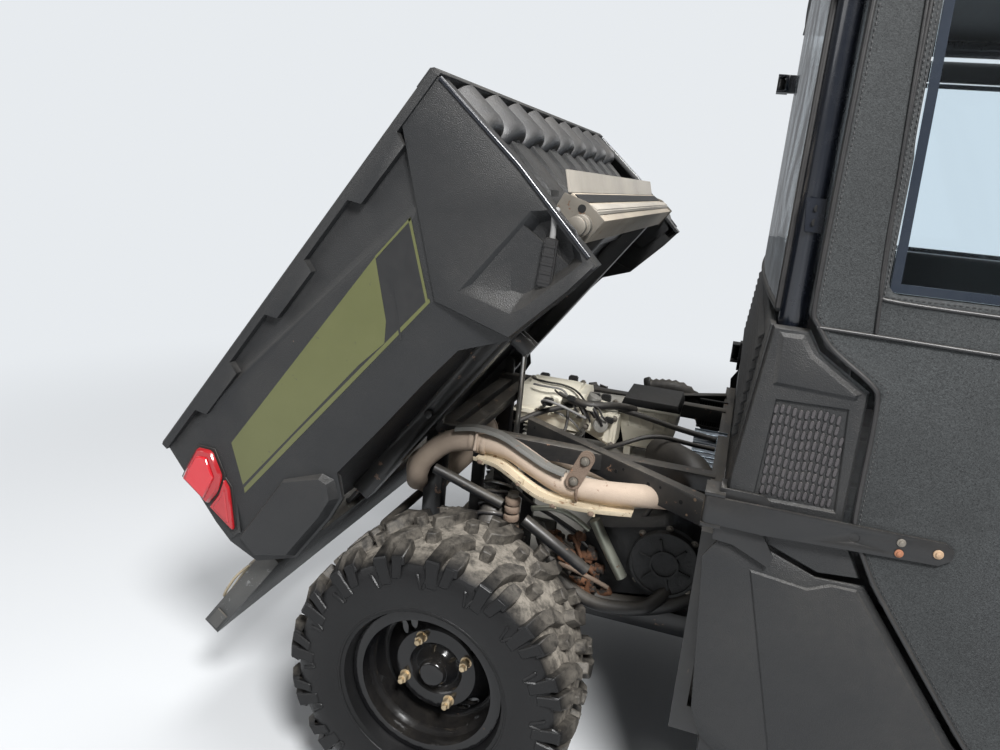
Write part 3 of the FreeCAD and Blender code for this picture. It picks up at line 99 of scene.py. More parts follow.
tree.links.new(both, tree.nodes["Material Output"].inputs["Surface"])

# Studio light: a large soft lamp high on the right and ahead, which falls on the bed's side and
# the headboard, a wide one from behind the camera, a rim lamp on the far side, and a plain world.
world = bpy.data.worlds.new("studio")
bpy.context.scene.world = world
world.use_nodes = True
tree = world.node_tree
sky = tree.nodes["Background"]
sky.inputs["Color"].default_value = (0.86, 0.89, 0.93, 1)
sky.inputs["Strength"].default_value = 0.27
seen = wire(tree, "Background", {"Color": backdrop, "Strength": 1.0})
rays = [wire(tree, "LightPath", out=ray) for ray in ("Is Camera Ray", "Is Transmission Ray")]
both = wire(tree, "MixShader", {"Fac": maths(tree, "MAXIMUM", *rays), 1: sky.outputs[0], 2: seen})
tree.links.new(both, tree.nodes["World Output"].inputs["Surface"])
# Columns: name, place, aimed at, size, watts
for name, place, aim, size, watts in (
    ("key_lamp", (1.0, -3.4, 4.4), (-0.6, -0.3, 0.6), 1.3, 520),
    ("wide_lamp", (-4.6, -3.2, 2.6), (-0.6, 0.0, 0.7), 3.5, 90),
    ("top_lamp", (-0.5, 0.4, 5.2), (-0.4, 0.0, 0.5), 2.6, 170),
    ("far_lamp", (2.5, 5.0, 3.2), (0.0, 0.0, 0.8), 3.5, 110),
):
    bpy.ops.object.light_add(type="AREA", location=place)
    lamp = bpy.context.object
    lamp.name = name
    lamp.data.shape = "DISK"
    lamp.data.size = size
    lamp.data.energy = watts
    lamp.visible_camera = False
    lamp.visible_transmission = False
    lamp.rotation_euler = (Vector(aim) - Vector(place)).to_track_quat("-Z", "Y").to_euler()


# Frame: welded square and round steel tube, painted black, with dust on its tops and scattered chips down to
# primer and rust. Arms, bumper, column and bed frame have the same paint.
def span(tree, value, low, high, to_low=0.0, to_high=1.0):
    """A value spread from one range to another."""
    ends = {"From Min": low, "From Max": high, "To Min": to_low, "To Max": to_high}
    return wire(tree, "MapRange", {"Value": value, **ends})


def cloud(tree, place, scale, detail, roughness=0.5):
    """Noise from 0 to 1 at a place."""
    return wire(tree, "TexNoise", {"Vector": place, "Scale": scale, "Detail": detail, "Roughness": roughness})


def mixed(tree, share, first, second):
    """A colour between two colours."""
    return wire(tree, "Mix", {"Factor": share, 6: first, 7: second}, 2, data_type="RGBA")


def build_worn_surface():
    """Grain, dust on what faces up, blotches and chips for plastics, paints and metals."""
    group = bpy.data.node_groups.new("worn_surface", "ShaderNodeTree")
    for label, kind, value in (
        ("Color", "Color", (0.05, 0.05, 0.05, 1)), ("Dust Color", "Color", (0.34, 0.29, 0.22, 1)),
        ("Chip Color", "Color", (0.2, 0.12, 0.08, 1)), ("Dust", "Float", 0.25), ("Chips", "Float", 0.0),
        ("Roughness", "Float", 0.5), ("Grain Scale", "Float", 900.0), ("Grain Depth", "Float", 0.1),
        ("Blotch", "Float", 0.15),
    ):
        group.interface.new_socket(label, in_out="INPUT", socket_type="NodeSocket" + kind).default_value = value
    for label, kind in (("Color", "Color"), ("Roughness", "Float"), ("Normal", "Vector")):
        group.interface.new_socket(label, in_out="OUTPUT", socket_type="NodeSocket" + kind)
    given = group.nodes.new("NodeGroupInput").outputs
    end = group.nodes.new("NodeGroupOutput").inputs
    place = wire(group, "TexCoord", out="Object")
    facing = wire(group, "SeparateXYZ", {0: wire(group, "NewGeometry", out="Normal")}, "Z")
    grain = cloud(group, place, given["Grain Scale"], 1.0)
    broad = cloud(group, place, 5.0, 5.0, 0.6)
    fine = cloud(group, place, 60.0, 4.0, 0.65)
    dust = maths(group, "MULTIPLY", span(group, facing, -0.3, 0.95), span(group, broad, 0.35, 0.68, 0.35))
    dust = maths(group, "MULTIPLY", dust, span(group, fine, 0.3, 0.7, 0.5))
    dust = maths(group, "MULTIPLY", dust, given["Dust"])
    shade = maths(group, "MULTIPLY_ADD", span(group, broad, 0.3, 0.7, -0.5, 0.5), given["Blotch"], 1.0)
    base = wire(group, "VectorMath", {0: given["Color"], "Scale": shade}, operation="SCALE")
    limit = maths(group, "SUBTRACT", 0.72, given["Chips"])
    chip = span(group, cloud(group, place, 34.0, 6.0, 0.7), limit, maths(group, "ADD", limit, 0.02))
    chipped = mixed(group, chip, base, given["Chip Color"])
    group.links.new(mixed(group, dust, chipped, given["Dust Color"]), end["Color"])
    rough = maths(group, "ADD", span(group, fine, 0.0, 1.0, -0.08, 0.08), given["Roughness"])
    group.links.new(maths(group, "ADD", dust, rough, use_clamp=True), end["Roughness"])
    height = maths(group, "MULTIPLY_ADD", chip, -0.5, grain)
    bump = wire(group, "Bump", {"Height": height, "Strength": given["Grain Depth"], "Distance": 0.002})
    group.links.new(bump, end["Normal"])
    return group


worn_surface = build_worn_surface()


def worn(name, color, slot="", metallic=0.0, coat=0.0, specular=0.5, **values):
    """One finish: the worn surface with this finish's values. Its slot argument is not used."""
    own = {"Metallic": metallic, "Coat Weight": coat, "Specular IOR Level": specular}
    material, tree, shader = shaded(name, own)
    group = tree.nodes.new("ShaderNodeGroup")
    group.node_tree = worn_surface
    group.inputs["Color"].default_value = (*color, 1)
    for key, value in values.items():
        socket = group.inputs[key.replace("_", " ").title()]
        socket.default_value = (*value, 1) if isinstance(value, tuple) else value
    for label, target in (("Color", "Base Color"), ("Roughness", "Roughness"), ("Normal", "Normal")):
        tree.links.new(group.outputs[label], shader.inputs[target])
    return material


def dress(nodes, material, edge):
    """Give CAD nodes their finish and soften their edges, in mm, without touching their own meshes."""
    for node in nodes:
        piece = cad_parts[node]
        piece.data.materials.clear()
        piece.data.materials.append(material)
        if edge:
            piece.modifiers.new("weld", "WELD").merge_threshold = 0.00001
            bevel = piece.modifiers.new("edge", "BEVEL")
            bevel.width = edge / 1000
            bevel.segments = 2
            bevel.limit_method = "ANGLE"
            bevel.angle_limit = math.radians(30)
            bevel.harden_normals = True
            bevel.use_clamp_overlap = True
        piece.data.polygons.foreach_set("use_smooth", [True] * len(piece.data.polygons))


black_paint = worn("black_paint", (0.012, 0.013, 0.015), "black_steel", coat=0.1, roughness=0.36, dust=0.30,
                   chips=0.08, grain_depth=0.05)
dress(("main_frame", "suspension_arms", "stabilizer_bar", "front_bumper", "steering_column",
       "knuckle_front_left", "knuckle_front_right"), black_paint, 1.2)
dress(("bed_subframe", "strut_barrel"), black_paint, 1.0)
middle_x = 904.5
bed_hinge_x = -190
bed_hinge_z = 785
bed_tilt = math.radians(54)


def at(x, y, z):
    """A point in millimetres from the ground below the rear axle, in the scene's metres."""
    return Vector(((x - middle_x) / 1000, y / 1000, z / 1000))


def spot(body, point):
    """A point on a body; the bed's and tailgate's are given as they lie when the bed is lowered."""
    x, y, z = point
    if body not in ("bed", "tailgate"):
        return at(x, y, z)
    a = x - bed_hinge_x
    b = z - bed_hinge_z
    return at(bed_hinge_x + a * math.cos(bed_tilt) - b * math.sin(bed_tilt), y,
              bed_hinge_z + a * math.sin(bed_tilt) + b * math.cos(bed_tilt))


def pick(piece):
    """Make a piece the only one that is selected."""
    bpy.ops.object.select_all(action="DESELECT")
    piece.select_set(True)
    bpy.context.view_layer.objects.active = piece


def ready(piece, finish, body, smooth=40):
    """Give a finished piece its finish, smooth shading and the body that it rides on."""
    pick(piece)
    bpy.ops.object.transform_apply(location=True, rotation=True, scale=True)
    piece.data.materials.clear()
    piece.data.materials.append(finish)
    bpy.ops.object.shade_smooth_by_angle(angle=math.radians(smooth))
    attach(piece, body)
    return piece


def drum(name, start, end, radius, finish, body="vehicle", sides=24, edge=0.0, top=None):
    """A round or, with few sides, a hexagonal piece between two points; sizes in mm."""
    low = spot(body, start)
    run = spot(body, end) - low
    wide = radius / 1000
    far = wide if top is None else top / 1000
    bpy.ops.mesh.primitive_cone_add(vertices=sides, radius1=wide, radius2=far, depth=run.length)
    piece = bpy.context.object
    piece.name = name
    if edge:
        bevel = piece.modifiers.new("edge", "BEVEL")
        bevel.width = edge / 1000
        bevel.segments = 2
        bevel.limit_method = "ANGLE"
        bpy.ops.object.modifier_apply(modifier="edge")
    piece.matrix_world = Matrix.Translation(low + run / 2) @ run.to_track_quat("Z", "Y").to_matrix().to_4x4()
    return ready(piece, finish, body)


def joined(name, pieces):
    """Several pieces of one body joined into one, under the given name."""
    bpy.ops.object.select_all(action="DESELECT")
    for piece in pieces:
        piece.select_set(True)
    bpy.context.view_layer.objects.active = pieces[0]
    bpy.ops.object.join()
    bpy.context.object.name = name
    return bpy.context.object


# Right brace: a square tube that runs forward and outward, with drilled holes drawn as dark discs of painted
# shade, and spots where the paint is knocked off down to rusty steel.
# Hole shade: a near-black finish for discs and sheets that are painted shade in holes and hollows.
painted_hole_shade = worn("painted_hole_shade", (0.004, 0.004, 0.004), "black_steel", roughness=0.9, dust=0.0, grain_depth=0.0)
bare_spot = worn("bare_spot", (0.22, 0.15, 0.10), "black_steel", metallic=0.3, roughness=0.7, dust=0.3,
                 blotch=0.8)
brace_start = Vector((10, -160, 0))
brace_way = (Vector((505, -490.2, 0)) - brace_start).normalized()
brace_face = Vector((brace_way.y, -brace_way.x, 0))
drilled = ((30, 735, 4), (215, 738, 4.5), (225, 712, 3.2), (330, 722, 4.5), (352, 735, 3.2), (380, 706, 4),
           (430, 728, 4.5), (445, 706, 5), (465, 733, 3.2), (525, 722, 5))
knocked = ((218, 731, 4), (233, 738, 2.5), (432, 714, 3.5), (560, 742, 4), (545, 700, 3))
# Columns: name, marks as distance along, height and radius, finish, how proud, sides
for name, marks, finish, proud, sides in (("brace_hole_shades", drilled, painted_hole_shade, 0.6, 20),
                                          ("brace_bare_spots", knocked, bare_spot, 0.4, 9)):
    made = []
    for reach, z, radius in marks:
        base = brace_start + brace_way * reach + Vector((0, 0, z))
        made.append(drum("mark", base - brace_face, base + brace_face * proud, radius, finish, sides=sides))
    joined(name, made)

# Underbody, cab floor and body panels: moulded black plastic sheets, grained, scuffed and dusty,
# pushed and bolted on the frame.
black_plastic = worn("black_plastic", (0.0125, 0.0133, 0.0145), "black_plastic", specular=0.38, roughness=0.46,
                     dust=0.10, grain_depth=0.55, grain_scale=520.0)
dress(("skid_plate", "floor_pan", "seat_box", "cab_rear_panel", "rockers", "side_panels", "dashboard",
       "front_body", "grille", "roof", "airbox_lid", "bed_box", "bed_skins"), black_plastic, 3.0)


# Engine: cast alloy block and gear case with cream plastic covers, dusty all over, and bolts
# round its covers and the clutch's.
def prism(name, outline, depth, finish, body="vehicle", slot=None, edge=0.0, segments=2):
    """A plate from an outline of points and the way it is thick, with rounded edges; sizes in mm."""
    mesh = bpy.data.meshes.new(name)
    shape = bmesh.new()
    face = shape.faces.new([shape.verts.new(spot(body, point)) for point in outline])
    moved = bmesh.ops.extrude_face_region(shape, geom=[face])["geom"]
    far = [corner for corner in moved if isinstance(corner, bmesh.types.BMVert)]
    bmesh.ops.translate(shape, verts=far, vec=spot(body, depth) - spot(body, (0, 0, 0)))
    bmesh.ops.recalc_face_normals(shape, faces=shape.faces)
    if edge:
        bmesh.ops.bevel(shape, geom=shape.edges[:], offset=edge / 1000, segments=segments, affect="EDGES",
                        clamp_overlap=True)
    shape.to_mesh(mesh)
    shape.free()
    return ready(added(name, mesh), finish, body)


def added(name, data):
    """A new object in the scene."""
    piece = bpy.data.objects.new(name, data)
    bpy.context.collection.objects.link(piece)
    return piece


def plate(name, outline, y, thick, *rest, **more):
    """A plate from an outline of (x, z) points at one y, thick along y."""
    return prism(name, [(x, y, z) for x, z in outline], (0, thick, 0), *rest, **more)


def bolts(name, places, way, size, finish, washer=1.5):
    """Hexagon heads on washers, all pointing one way; size is the head's radius in mm."""
    made = []
    for place in places:
        base = Vector(place)
        step = Vector(way).normalized() * size
        made.append(drum("washer", base, base + step * 0.25, size * washer, finish, sides=20,
                         edge=size * 0.08))
        made.append(drum("head", base + step * 0.2, base + step * 0.95, size, finish, sides=6,
                         edge=size * 0.12))
    return joined(name, made)


cast_alloy = worn("cast_alloy", (0.40, 0.39, 0.36), "cast_alloy", metallic=0.6, roughness=0.55, dust=0.4,
                  grain_scale=300.0, grain_depth=0.4, blotch=0.5)
cream = worn("cream_cover", (0.78, 0.73, 0.60), "cream_cover", roughness=0.5, dust=0.18, chips=0.05,
             blotch=0.25, grain_depth=0.1)
cream_grey = worn("airbox_cover", (0.60, 0.57, 0.48), "cream_cover", roughness=0.6, dust=0.2, blotch=0.25,
                  grain_depth=0.3, grain_scale=300.0)
steel_dull = worn("dull_bolt", (0.24, 0.22, 0.19), "bright_steel", metallic=0.8, roughness=0.5, dust=0.35,
                  chips=0.1, blotch=0.5)
dress(("engine",), cast_alloy, 2.0)
dress(("transaxle",), cast_alloy, 3.0)
dress(("valve_cover",), cream, 6.0)
dress(("airbox",), cream_grey, 6.0)
dress(("clutch_housing",), black_plastic, 4.0)
cover_places = [(x, y, 712) for x in (-84, -20, 40, 106) for y in (54, 246)] + [(-60, 128, 789), (85, 172, 789)]
bolts("cover_bolts", cover_places, (0, 0, 1), 6, steel_dull)
clutch_turns = [math.pi * k / 4 for k in (1, 2, 3, 5, 6, 7)]
clutch_places = [(427 + 88 * math.cos(turn), -300, 499 + 88 * math.sin(turn)) for turn in clutch_turns]
bolts("clutch_bolts", clutch_places, (0, -1, 0), 6, steel_dull)

# Intake: a ribbed cream casting between the cylinder and the airbox with its ports and bolts, and
# the alloy throttle body with its clamps and sensors.
manifold = [plate("manifold_box", [(128, 690), (222, 650), (226, 752), (140, 768)], 10, 100, cream, edge=8,
                  segments=3)]
for k in range(4):
    x = 146 + 20 * k
    rib = [(x, 694 - 8 * k), (x + 5, 692 - 8 * k), (x + 7, 758 - 3 * k), (x + 2, 760 - 3 * k)]
    manifold.append(plate("manifold_rib", rib, 5, 8, cream, edge=1.5))
manifold.append(drum("manifold_port", (180, 12, 722), (184, -22, 724), 21, cast_alloy, sides=28, edge=3))
manifold.append(drum("manifold_neck", (140, 60, 764), (147, 60, 784), 20, cast_alloy, sides=28, edge=3))
joined("intake_manifold", manifold)
bolts("manifold_bolts", [(140, 9, 756), (216, 9, 742), (214, 9, 664), (138, 9, 704)], (0, -1, 0), 6, steel_dull)
drum("throttle_body", (112, 150, 735), (222, 165, 735), 34, cast_alloy, sides=28, edge=3)
bolts("throttle_clamps", [(150, 120, 758), (196, 126, 758)], (0, -0.3, 1), 6, steel_dull)
for k, (x, y, z) in enumerate(((30, -30, 770), (-40, 190, 783), (140, 95, 772), (170, 110, 770),
                               (45, 215, 783))):
    foot = [(x + dx, y + dy, z - 12) for dx, dy in ((-14, -10), (14, -10), (14, 10), (-14, 10))]
    prism(f"sensor_{k}", foot, (0, 0, 22), black_plastic, edge=3)
for k, (x, y, z, finish) in enumerate(((92, -14, 786, black_plastic), (150, -22, 770, cream_grey),
                                       (205, -10, 742, black_plastic))):
    block = [(x - 12, z - 7), (x + 12, z - 10), (x + 12, z + 5), (x - 12, z + 8)]
    plate(f"plug_{k}", block, y - 8, 16, finish, slot="black_plastic", edge=2.5)


# Exhaust: one bent mild steel pipe, rusted tan, that humps over the frame and runs down to the
# muffler across the rear, which has two rolled seams.
def tube(name, points, radius, finish, body="vehicle", radii=(1.0,), sides=5, kind="NURBS",
         closed=False):
    """A round tube, hose or wire along a smooth line through or near its points; sizes in mm."""
    line = bpy.data.curves.new(name, "CURVE")
    line.dimensions = "3D"
    line.bevel_depth = radius / 1000
    line.bevel_resolution = sides
    line.resolution_u = 8
    line.use_fill_caps = True
    run = line.splines.new(kind)
    run.points.add(len(points) - 1)
    for k, point in enumerate(points):
        run.points[k].co = (*spot(body, point), 1)
        run.points[k].radius = radii[k % len(radii)]
    run.use_cyclic_u = closed
    if kind == "NURBS":
        run.order_u = 3
        run.use_endpoint_u = not closed
    pick(added(name, line))
    bpy.ops.object.convert(target="MESH")
    bpy.context.object.name = name
    return ready(bpy.context.object, finish, body, 60)


def smooth_run(points, steps=6):
    """Points on a curve through the given ones."""
    points = [Vector(point) for point in points]
    spread = [points[0]] + points + [points[-1]]
    found = []
    for a, b, c, d in zip(spread, spread[1:], spread[2:], spread[3:]):
        for k in range(steps):
            t = k / steps
            bend = (2 * a - 5 * b + 4 * c - d) * t * t + (3 * b - a - 3 * c + d) * t ** 3
            found.append(0.5 * (2 * b + (c - a) * t + bend))
    return found + [points[-1]]


rust = worn("rusted_pipe", (0.42, 0.335, 0.265), "exhaust_rust", metallic=0.15, roughness=0.7, dust=0.35,
            chips=0.06, chip_color=(0.20, 0.11, 0.07), blotch=0.35, grain_scale=350.0, grain_depth=0.35)
dress(("exhaust",), rust, 1.0)
pipe_y = -402
pipe_route = smooth_run((
    (20, 59.7, 640), (22, -50, 640), (190, -100, 628), (395, -160, 632), (440, -260, 664), (418, -370, 694),
    (353, pipe_y, 697), (262, pipe_y, 687), (178, pipe_y, 688), (114, pipe_y, 712), (34, pipe_y, 748),
    (-42, pipe_y, 752), (-120, pipe_y, 735), (-180, -400, 680), (-205, -384, 630), (-222, -340, 592),
    (-248, -280, 566), (-250, -205, 560)), 5)
exhaust_line = [tube("exhaust_pipe", pipe_route, 26.8, rust, kind="POLY", sides=10)]
for name, start, end, radius, edge in (("muffler", -215, 235, 65, 10), ("seam", -199, -193, 67.2, 1),
                                       ("seam", 213, 219, 67.2, 1)):
    exhaust_line.append(drum(name, (-250, start, 560), (-250, end, 560), radius, rust, sides=48, edge=edge))
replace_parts(joined("exhaust_line", exhaust_line), "exhaust")

# Band clamp round the pipe's joint: three rolled rings with a lug, drawn together by one bolt.
# It is rusted like the pipe.
band_middle = Vector((-42, pipe_y, 751.5))
band_way = Vector((300, 0, -21)).normalized()
clamp = []
for reach, radius in ((-16, 28.4), (0, 29.2), (16, 28.4)):
    middle = band_middle + band_way * reach
    clamp.append(drum("band", middle - band_way * 6, middle + band_way * 6, radius, rust, sides=36, edge=1.5))
clamp.append(drum("band_lug", band_middle + Vector((-6, -12, 26)), band_middle + Vector((22, -24, 36)), 6, rust,
                  sides=12, edge=1))
clamp.append(drum("band_bolt", band_middle + Vector((0, -36, -12)), band_middle + Vector((0, -24, 28)), 4, rust,
                  sides=12))
joined("exhaust_band_clamp", clamp)

# Hanger: two oval steel plates with a bush and bolt at each end, one to the brace and one to the
# saddle that wraps the pipe.
steel_rust = worn("rusty_steel", (0.20, 0.145, 0.11), "exhaust_rust", metallic=0.3, roughness=0.75, dust=0.35,
                  chips=0.1, chip_color=(0.30, 0.14, 0.07), blotch=0.6, grain_scale=300.0, grain_depth=0.6)
link_low = Vector((203, -436, 712))
link_high = Vector((224, -436, 765))
link_way = (link_high - link_low).normalized()
link_side = Vector((link_way.z, 0, -link_way.x))
oval = []
for k in range(24):
    turn = 2 * math.pi * k / 24
    centre = link_high if math.cos(turn) > 0 else link_low
    oval.append(centre + link_way * math.cos(turn) * 21 + link_side * math.sin(turn) * 19)
hanger = []
for behind in (0, 16):
    outline = [point + Vector((0, behind, 0)) for point in oval]
    hanger.append(prism("hanger_plate", outline, (0, 4, 0), steel_rust, edge=1))
for place in (link_low, link_high):
    hanger.append(drum("hanger_bush", place, place + Vector((0, 30, 0)), 12, steel_rust, sides=20))
turns = [math.pi * k / 10 for k in range(-9, 10)]
saddle = [(212, pipe_y + 31 * math.sin(turn), 687 + 31 * math.cos(turn)) for turn in turns]
hanger.append(tube("hanger_saddle", saddle, 3.5, steel_rust, kind="POLY"))
joined("exhaust_hanger", hanger)
bolts("hanger_bolts", [link_low, link_high], (0, -1, 0), 8.5, steel_dull, 1.25)


# Heat shields: pressed zinc-coated strips with turned edges, one below the pipe and one over its
# hump, on tabs that are bolted to the pipe.
def ribbon(name, points, width, rise, material):
    """A strip of sheet along a curve, that wide along y, with its two edges turned up by rise."""
    mesh = bmesh.new()
    rows = []
    for middle in smooth_run(points):
        top = []
        under = []
        for share, lift in ((-0.5, rise), (-0.43, 0), (0.43, 0), (0.5, rise)):
            corner = middle + Vector((0, width * share, lift))
            top.append(mesh.verts.new(at(*corner)))
            under.append(mesh.verts.new(at(corner.x, corner.y, corner.z - 2.5)))
        rows.append(top + under[::-1])
    count = len(rows[0])
    for near, far in zip(rows, rows[1:]):
        for k in range(count):
            mesh.faces.new((near[k], near[(k + 1) % count], far[(k + 1) % count], far[k]))
    mesh.faces.new(rows[0])
    mesh.faces.new(rows[-1][::-1])
    bmesh.ops.recalc_face_normals(mesh, faces=mesh.faces)
    data = bpy.data.meshes.new(name)
    mesh.to_mesh(data)
    mesh.free()
    return ready(added(name, data), material, "vehicle", 35)


zinc_cream = worn("zinc_cream", (0.55, 0.47, 0.34), "shield_steel", metallic=0.25, roughness=0.55, dust=0.25,
                  chips=0.12, chip_color=(0.24, 0.15, 0.09), blotch=0.5, grain_scale=260.0, grain_depth=0.4)
zinc_grey = worn("zinc_grey", (0.17, 0.17, 0.16), "shield_steel", metallic=0.4, roughness=0.5, dust=0.3,
                 chips=0.1, blotch=0.5)
dress(("heat_shield",), zinc_cream, 0.6)
low_run = ((-38, -430, 722), (15, -432, 716), (60, -433, 695), (100, -434, 672), (142, -434, 657),
           (205, -433, 652), (270, -430, 655), (345, -424, 662))
top_run = [(x, -424, z) for x, z in ((-95, 786), (-42, 796), (20, 789), (80, 762), (135, 738), (180, 728))]
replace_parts(ribbon("shield_strip_low", low_run, 50, 9, zinc_cream), "heat_shield")
ribbon("shield_strip_top", top_run, 30, -7, zinc_grey)
tabs = []
for x, z in ((-20, 738), (78, 704), (165, 668), (255, 668)):
    tabs.append(plate("tab", [(x - 9, z - 8), (x + 9, z - 11), (x + 9, z - 26), (x - 9, z - 23)], -452, 18,
                      zinc_cream, edge=1.5))
joined("shield_tabs", tabs)
shield_places = [(x, -453, z) for x, z in ((-20, 721), (78, 686), (165, 651), (255, 651))]
bolts("shield_bolts", shield_places, (0, -1, 0), 5.5,
      steel_rust, 1.3)

# Hoses and wires: rubber hoses, sleeved wires and oil tubes clipped along the frame and engine,
# with the black stays and rusty rods among them.
rubber_hose = worn("rubber_hose", (0.014, 0.014, 0.015), "black_plastic", roughness=0.45, dust=0.3,
                   grain_scale=300.0, grain_depth=0.15)
wire_black = worn("wire_sleeve", (0.012, 0.012, 0.013), "black_plastic", roughness=0.55, dust=0.2)
wire_grey = worn("wire_grey", (0.16, 0.16, 0.16), "black_plastic", roughness=0.5, dust=0.3)
oil_tube = worn("oil_tube", (0.36, 0.37, 0.31), "bright_steel", metallic=0.75, roughness=0.4, dust=0.25,
                chips=0.08, blotch=0.4)
orange_rust = worn("orange_rust", (0.15, 0.062, 0.028), "exhaust_rust", metallic=0.2, roughness=0.7, dust=0.2,
                   chips=0.2, chip_color=(0.02, 0.016, 0.014), blotch=1.2, grain_scale=260.0, grain_depth=0.7)
# Columns: name, radius, finish, points
for name, radius, finish, route in (
    ("coolant_hose", 17, rubber_hose, ((470, -250, 470), (430, -345, 400), (340, -352, 372), (240, -350, 372),
                                       (140, -300, 420), (90, -250, 500))),
    ("fuel_line", 6, rubber_hose, ((120, -60, 650), (180, -130, 680), (250, -160, 720), (340, -120, 760),
                                   (430, -90, 740), (497, -80, 735))),
    ("breather_hose", 11, rubber_hose,
     ((60, 60, 755), (80, 0, 780), (150, -30, 776), (230, 40, 776), (260, 84, 756))),
    ("rear_brake_line", 4, rubber_hose, ((490, -235, 520), (380, -260, 440), (220, -262, 400), (80, -300, 390),
                                         (10, -420, 380), (0, -540, 370))),
    ("stay_rod", 14, oil_tube, ((249, -335, 584), (275, -335, 536), (333, -335, 450))),
    ("belt_duct", 46, rubber_hose, ((360, -60, 690), (420, -150, 706), (470, -215, 700), (498, -262, 650))),
    ("upper_stay", 13, black_paint, ((-150, -410, 662), (-100, -404, 645), (-49, -402, 626), (30, -400, 602))),
    ("side_shaft", 15, black_paint, ((88, -398, 574), (120, -398, 556), (185, -396, 517), (250, -380, 470))),
    ("return_hose", 7, oil_tube, ((100, -385, 600), (140, -360, 605), (190, -335, 585), (235, -320, 548))),
    ("rusty_rod_a", 7, orange_rust, ((163, -310, 500), (210, -315, 470), (262, -312, 430))),
    ("rusty_rod_b", 5, orange_rust, ((196, -318, 520), (240, -318, 450), (250, -316, 385))),
    ("rusty_rod_c", 6, steel_rust, ((170, -322, 440), (230, -320, 430), (300, -312, 400))),
    ("clutch_duct", 24, rubber_hose, ((180, -262, 470), (150, -275, 420), (190, -290, 372), (300, -300, 352),
                                      (430, -300, 372), (505, -280, 420))),
    ("cable_a", 5, wire_black,
     ((-60, -330, 700), (20, -350, 640), (90, -340, 590), (150, -320, 560), (210, -300, 520))),
    ("cable_b", 4, wire_grey, ((120, -300, 560), (200, -305, 520), (260, -290, 470), (300, -290, 420))),
    ("vent_tube", 7, rubber_hose, ((395, -205, 640), (330, -240, 540), (300, -262, 430))),
    ("loom_main", 8, wire_black, ((-60, -40, 690), (-10, 0, 720), (60, 20, 745), (140, 40, 770), (200, 60, 760),
                                  (300, 70, 744), (390, 40, 736), (497, 20, 730))),
    ("loom_branch", 4.5, wire_black, ((80, 10, 745), (95, -30, 700), (70, -60, 670), (40, -70, 668))),
    ("plug_lead", 4, wire_grey, ((10, 18, 741), (0, -30, 770), (60, -60, 780), (140, -30, 740))),
    ("lead_a", 3, wire_grey, ((-40, 60, 788), (0, 40, 791), (50, 60, 789), (80, 30, 766), (110, 10, 740))),
    ("lead_b", 3, wire_black,
     ((-60, 120, 789), (-10, 90, 791), (40, 100, 791), (100, 70, 784), (130, 30, 760))),
    ("lead_c", 3, wire_grey, ((20, 50, 720), (60, 20, 725), (100, 40, 700), (120, 50, 670))),
):
    tube(name, route, radius, finish)
for k in range(7):
    y = -6 - 4 * k
    route = ((30 + 17 * k, 40 - 6 * k, 786 - 3 * k), (60 + 19 * k, y, 782 + 7 * math.sin(2.1 * k)),
             (110 + 13 * k, y - 8, 782 - 5 * k), (128 + 12 * k, y + 4, 742 - 9 * (k % 3)))
    tube(f"lead_{k}", route, 2.8 + 1.2 * (k % 2), wire_grey if k % 3 == 1 else wire_black)

# Cold side of the bay: a corrugated rubber intake hose on its collar, pleated heat foil in front
# of the cab's wall, and a black grille with thin upright fins beside the airbox.
foil = worn("heat_foil", (0.50, 0.56, 0.62), "shield_steel", metallic=0.9, roughness=0.32, dust=0.12,
            grain_scale=120.0, grain_depth=0.5)
hose_route = []
for k in range(24):
    hose_route.append((262 + 9.5 * k, 436, 736 + 9 * math.sin(k / 5) - 0.45 * max(0, k - 8) ** 2))
tube("intake_hose", hose_route, 34, rubber_hose, radii=(1.0, 0.86), kind="POLY", sides=7)
drum("intake_collar", (250, 436, 734), (268, 436, 742), 37, black_plastic, sides=28, edge=3)
pleats = []
for k in range(26):
    lean = 4 * (k % 2)
    low_y = 40 + lean - 3 * k
    high_y = 44 - lean - 3 * k
    low_z = 748 - 5.5 * k
    high_z = 742.5 - 5.5 * k
    outline = [(436, low_y, low_z), (436, high_y, high_z), (524, high_y, high_z), (524, low_y, low_z)]
    pleats.append(prism("pleat", outline, (0, 2, 0), foil))
joined("foil_wrap", pleats)
# The grille's dark back plate behind the fins is painted shade.
fins = [plate("fin_back", [(428, 652), (512, 652), (512, 742), (428, 742)], 396, 14, painted_hole_shade,
              slot="black_plastic", edge=2)]
for k in range(10):
    x = 432 + 8 * k
    fins.append(plate("fin", [(x, 656), (x + 3, 656), (x + 3, 738), (x, 738)], 389, 9, black_plastic, edge=0.6,
                      segments=1))
for z in (650, 738):
    fin = [(426, z), (514, z), (514, z + 6), (426, z + 6)]
    fins.append(plate("fin_bar", fin, 386, 12, black_plastic, edge=1))
joined("bay_grille", fins)

# Driveline and stabilizer: painted shafts, rusty joint cups with their clevises low in the bay,
# and the stabilizer's drop link of three rubber-faced bushes on a pin.
dress(("driveline",), worn("shaft_paint", (0.03, 0.03, 0.032), roughness=0.5, dust=0.4, chips=0.16), 1.0)
for k, (x, y, z, radius) in enumerate(((150, -296, 500, 13), (205, -300, 512, 10), (240, -306, 482, 13),
                                       (262, -300, 436, 12), (225, -304, 408, 15), (285, -298, 382, 11),
                                       (190, -300, 448, 10), (172, -312, 474, 8), (250, -318, 395, 9))):
    drum(f"joint_cup_{k}", (x - 22, y, z - 9 * (k % 3)), (x + 22, y - 8, z + 9 * (k % 2)), radius, orange_rust,
         sides=20, edge=3)
    plate(f"joint_ear_{k}", [(x - 6, z - 22), (x + 12, z - 26), (x + 16, z + 20), (x - 2, z + 24)], y - 14, 8,
          orange_rust, edge=2)
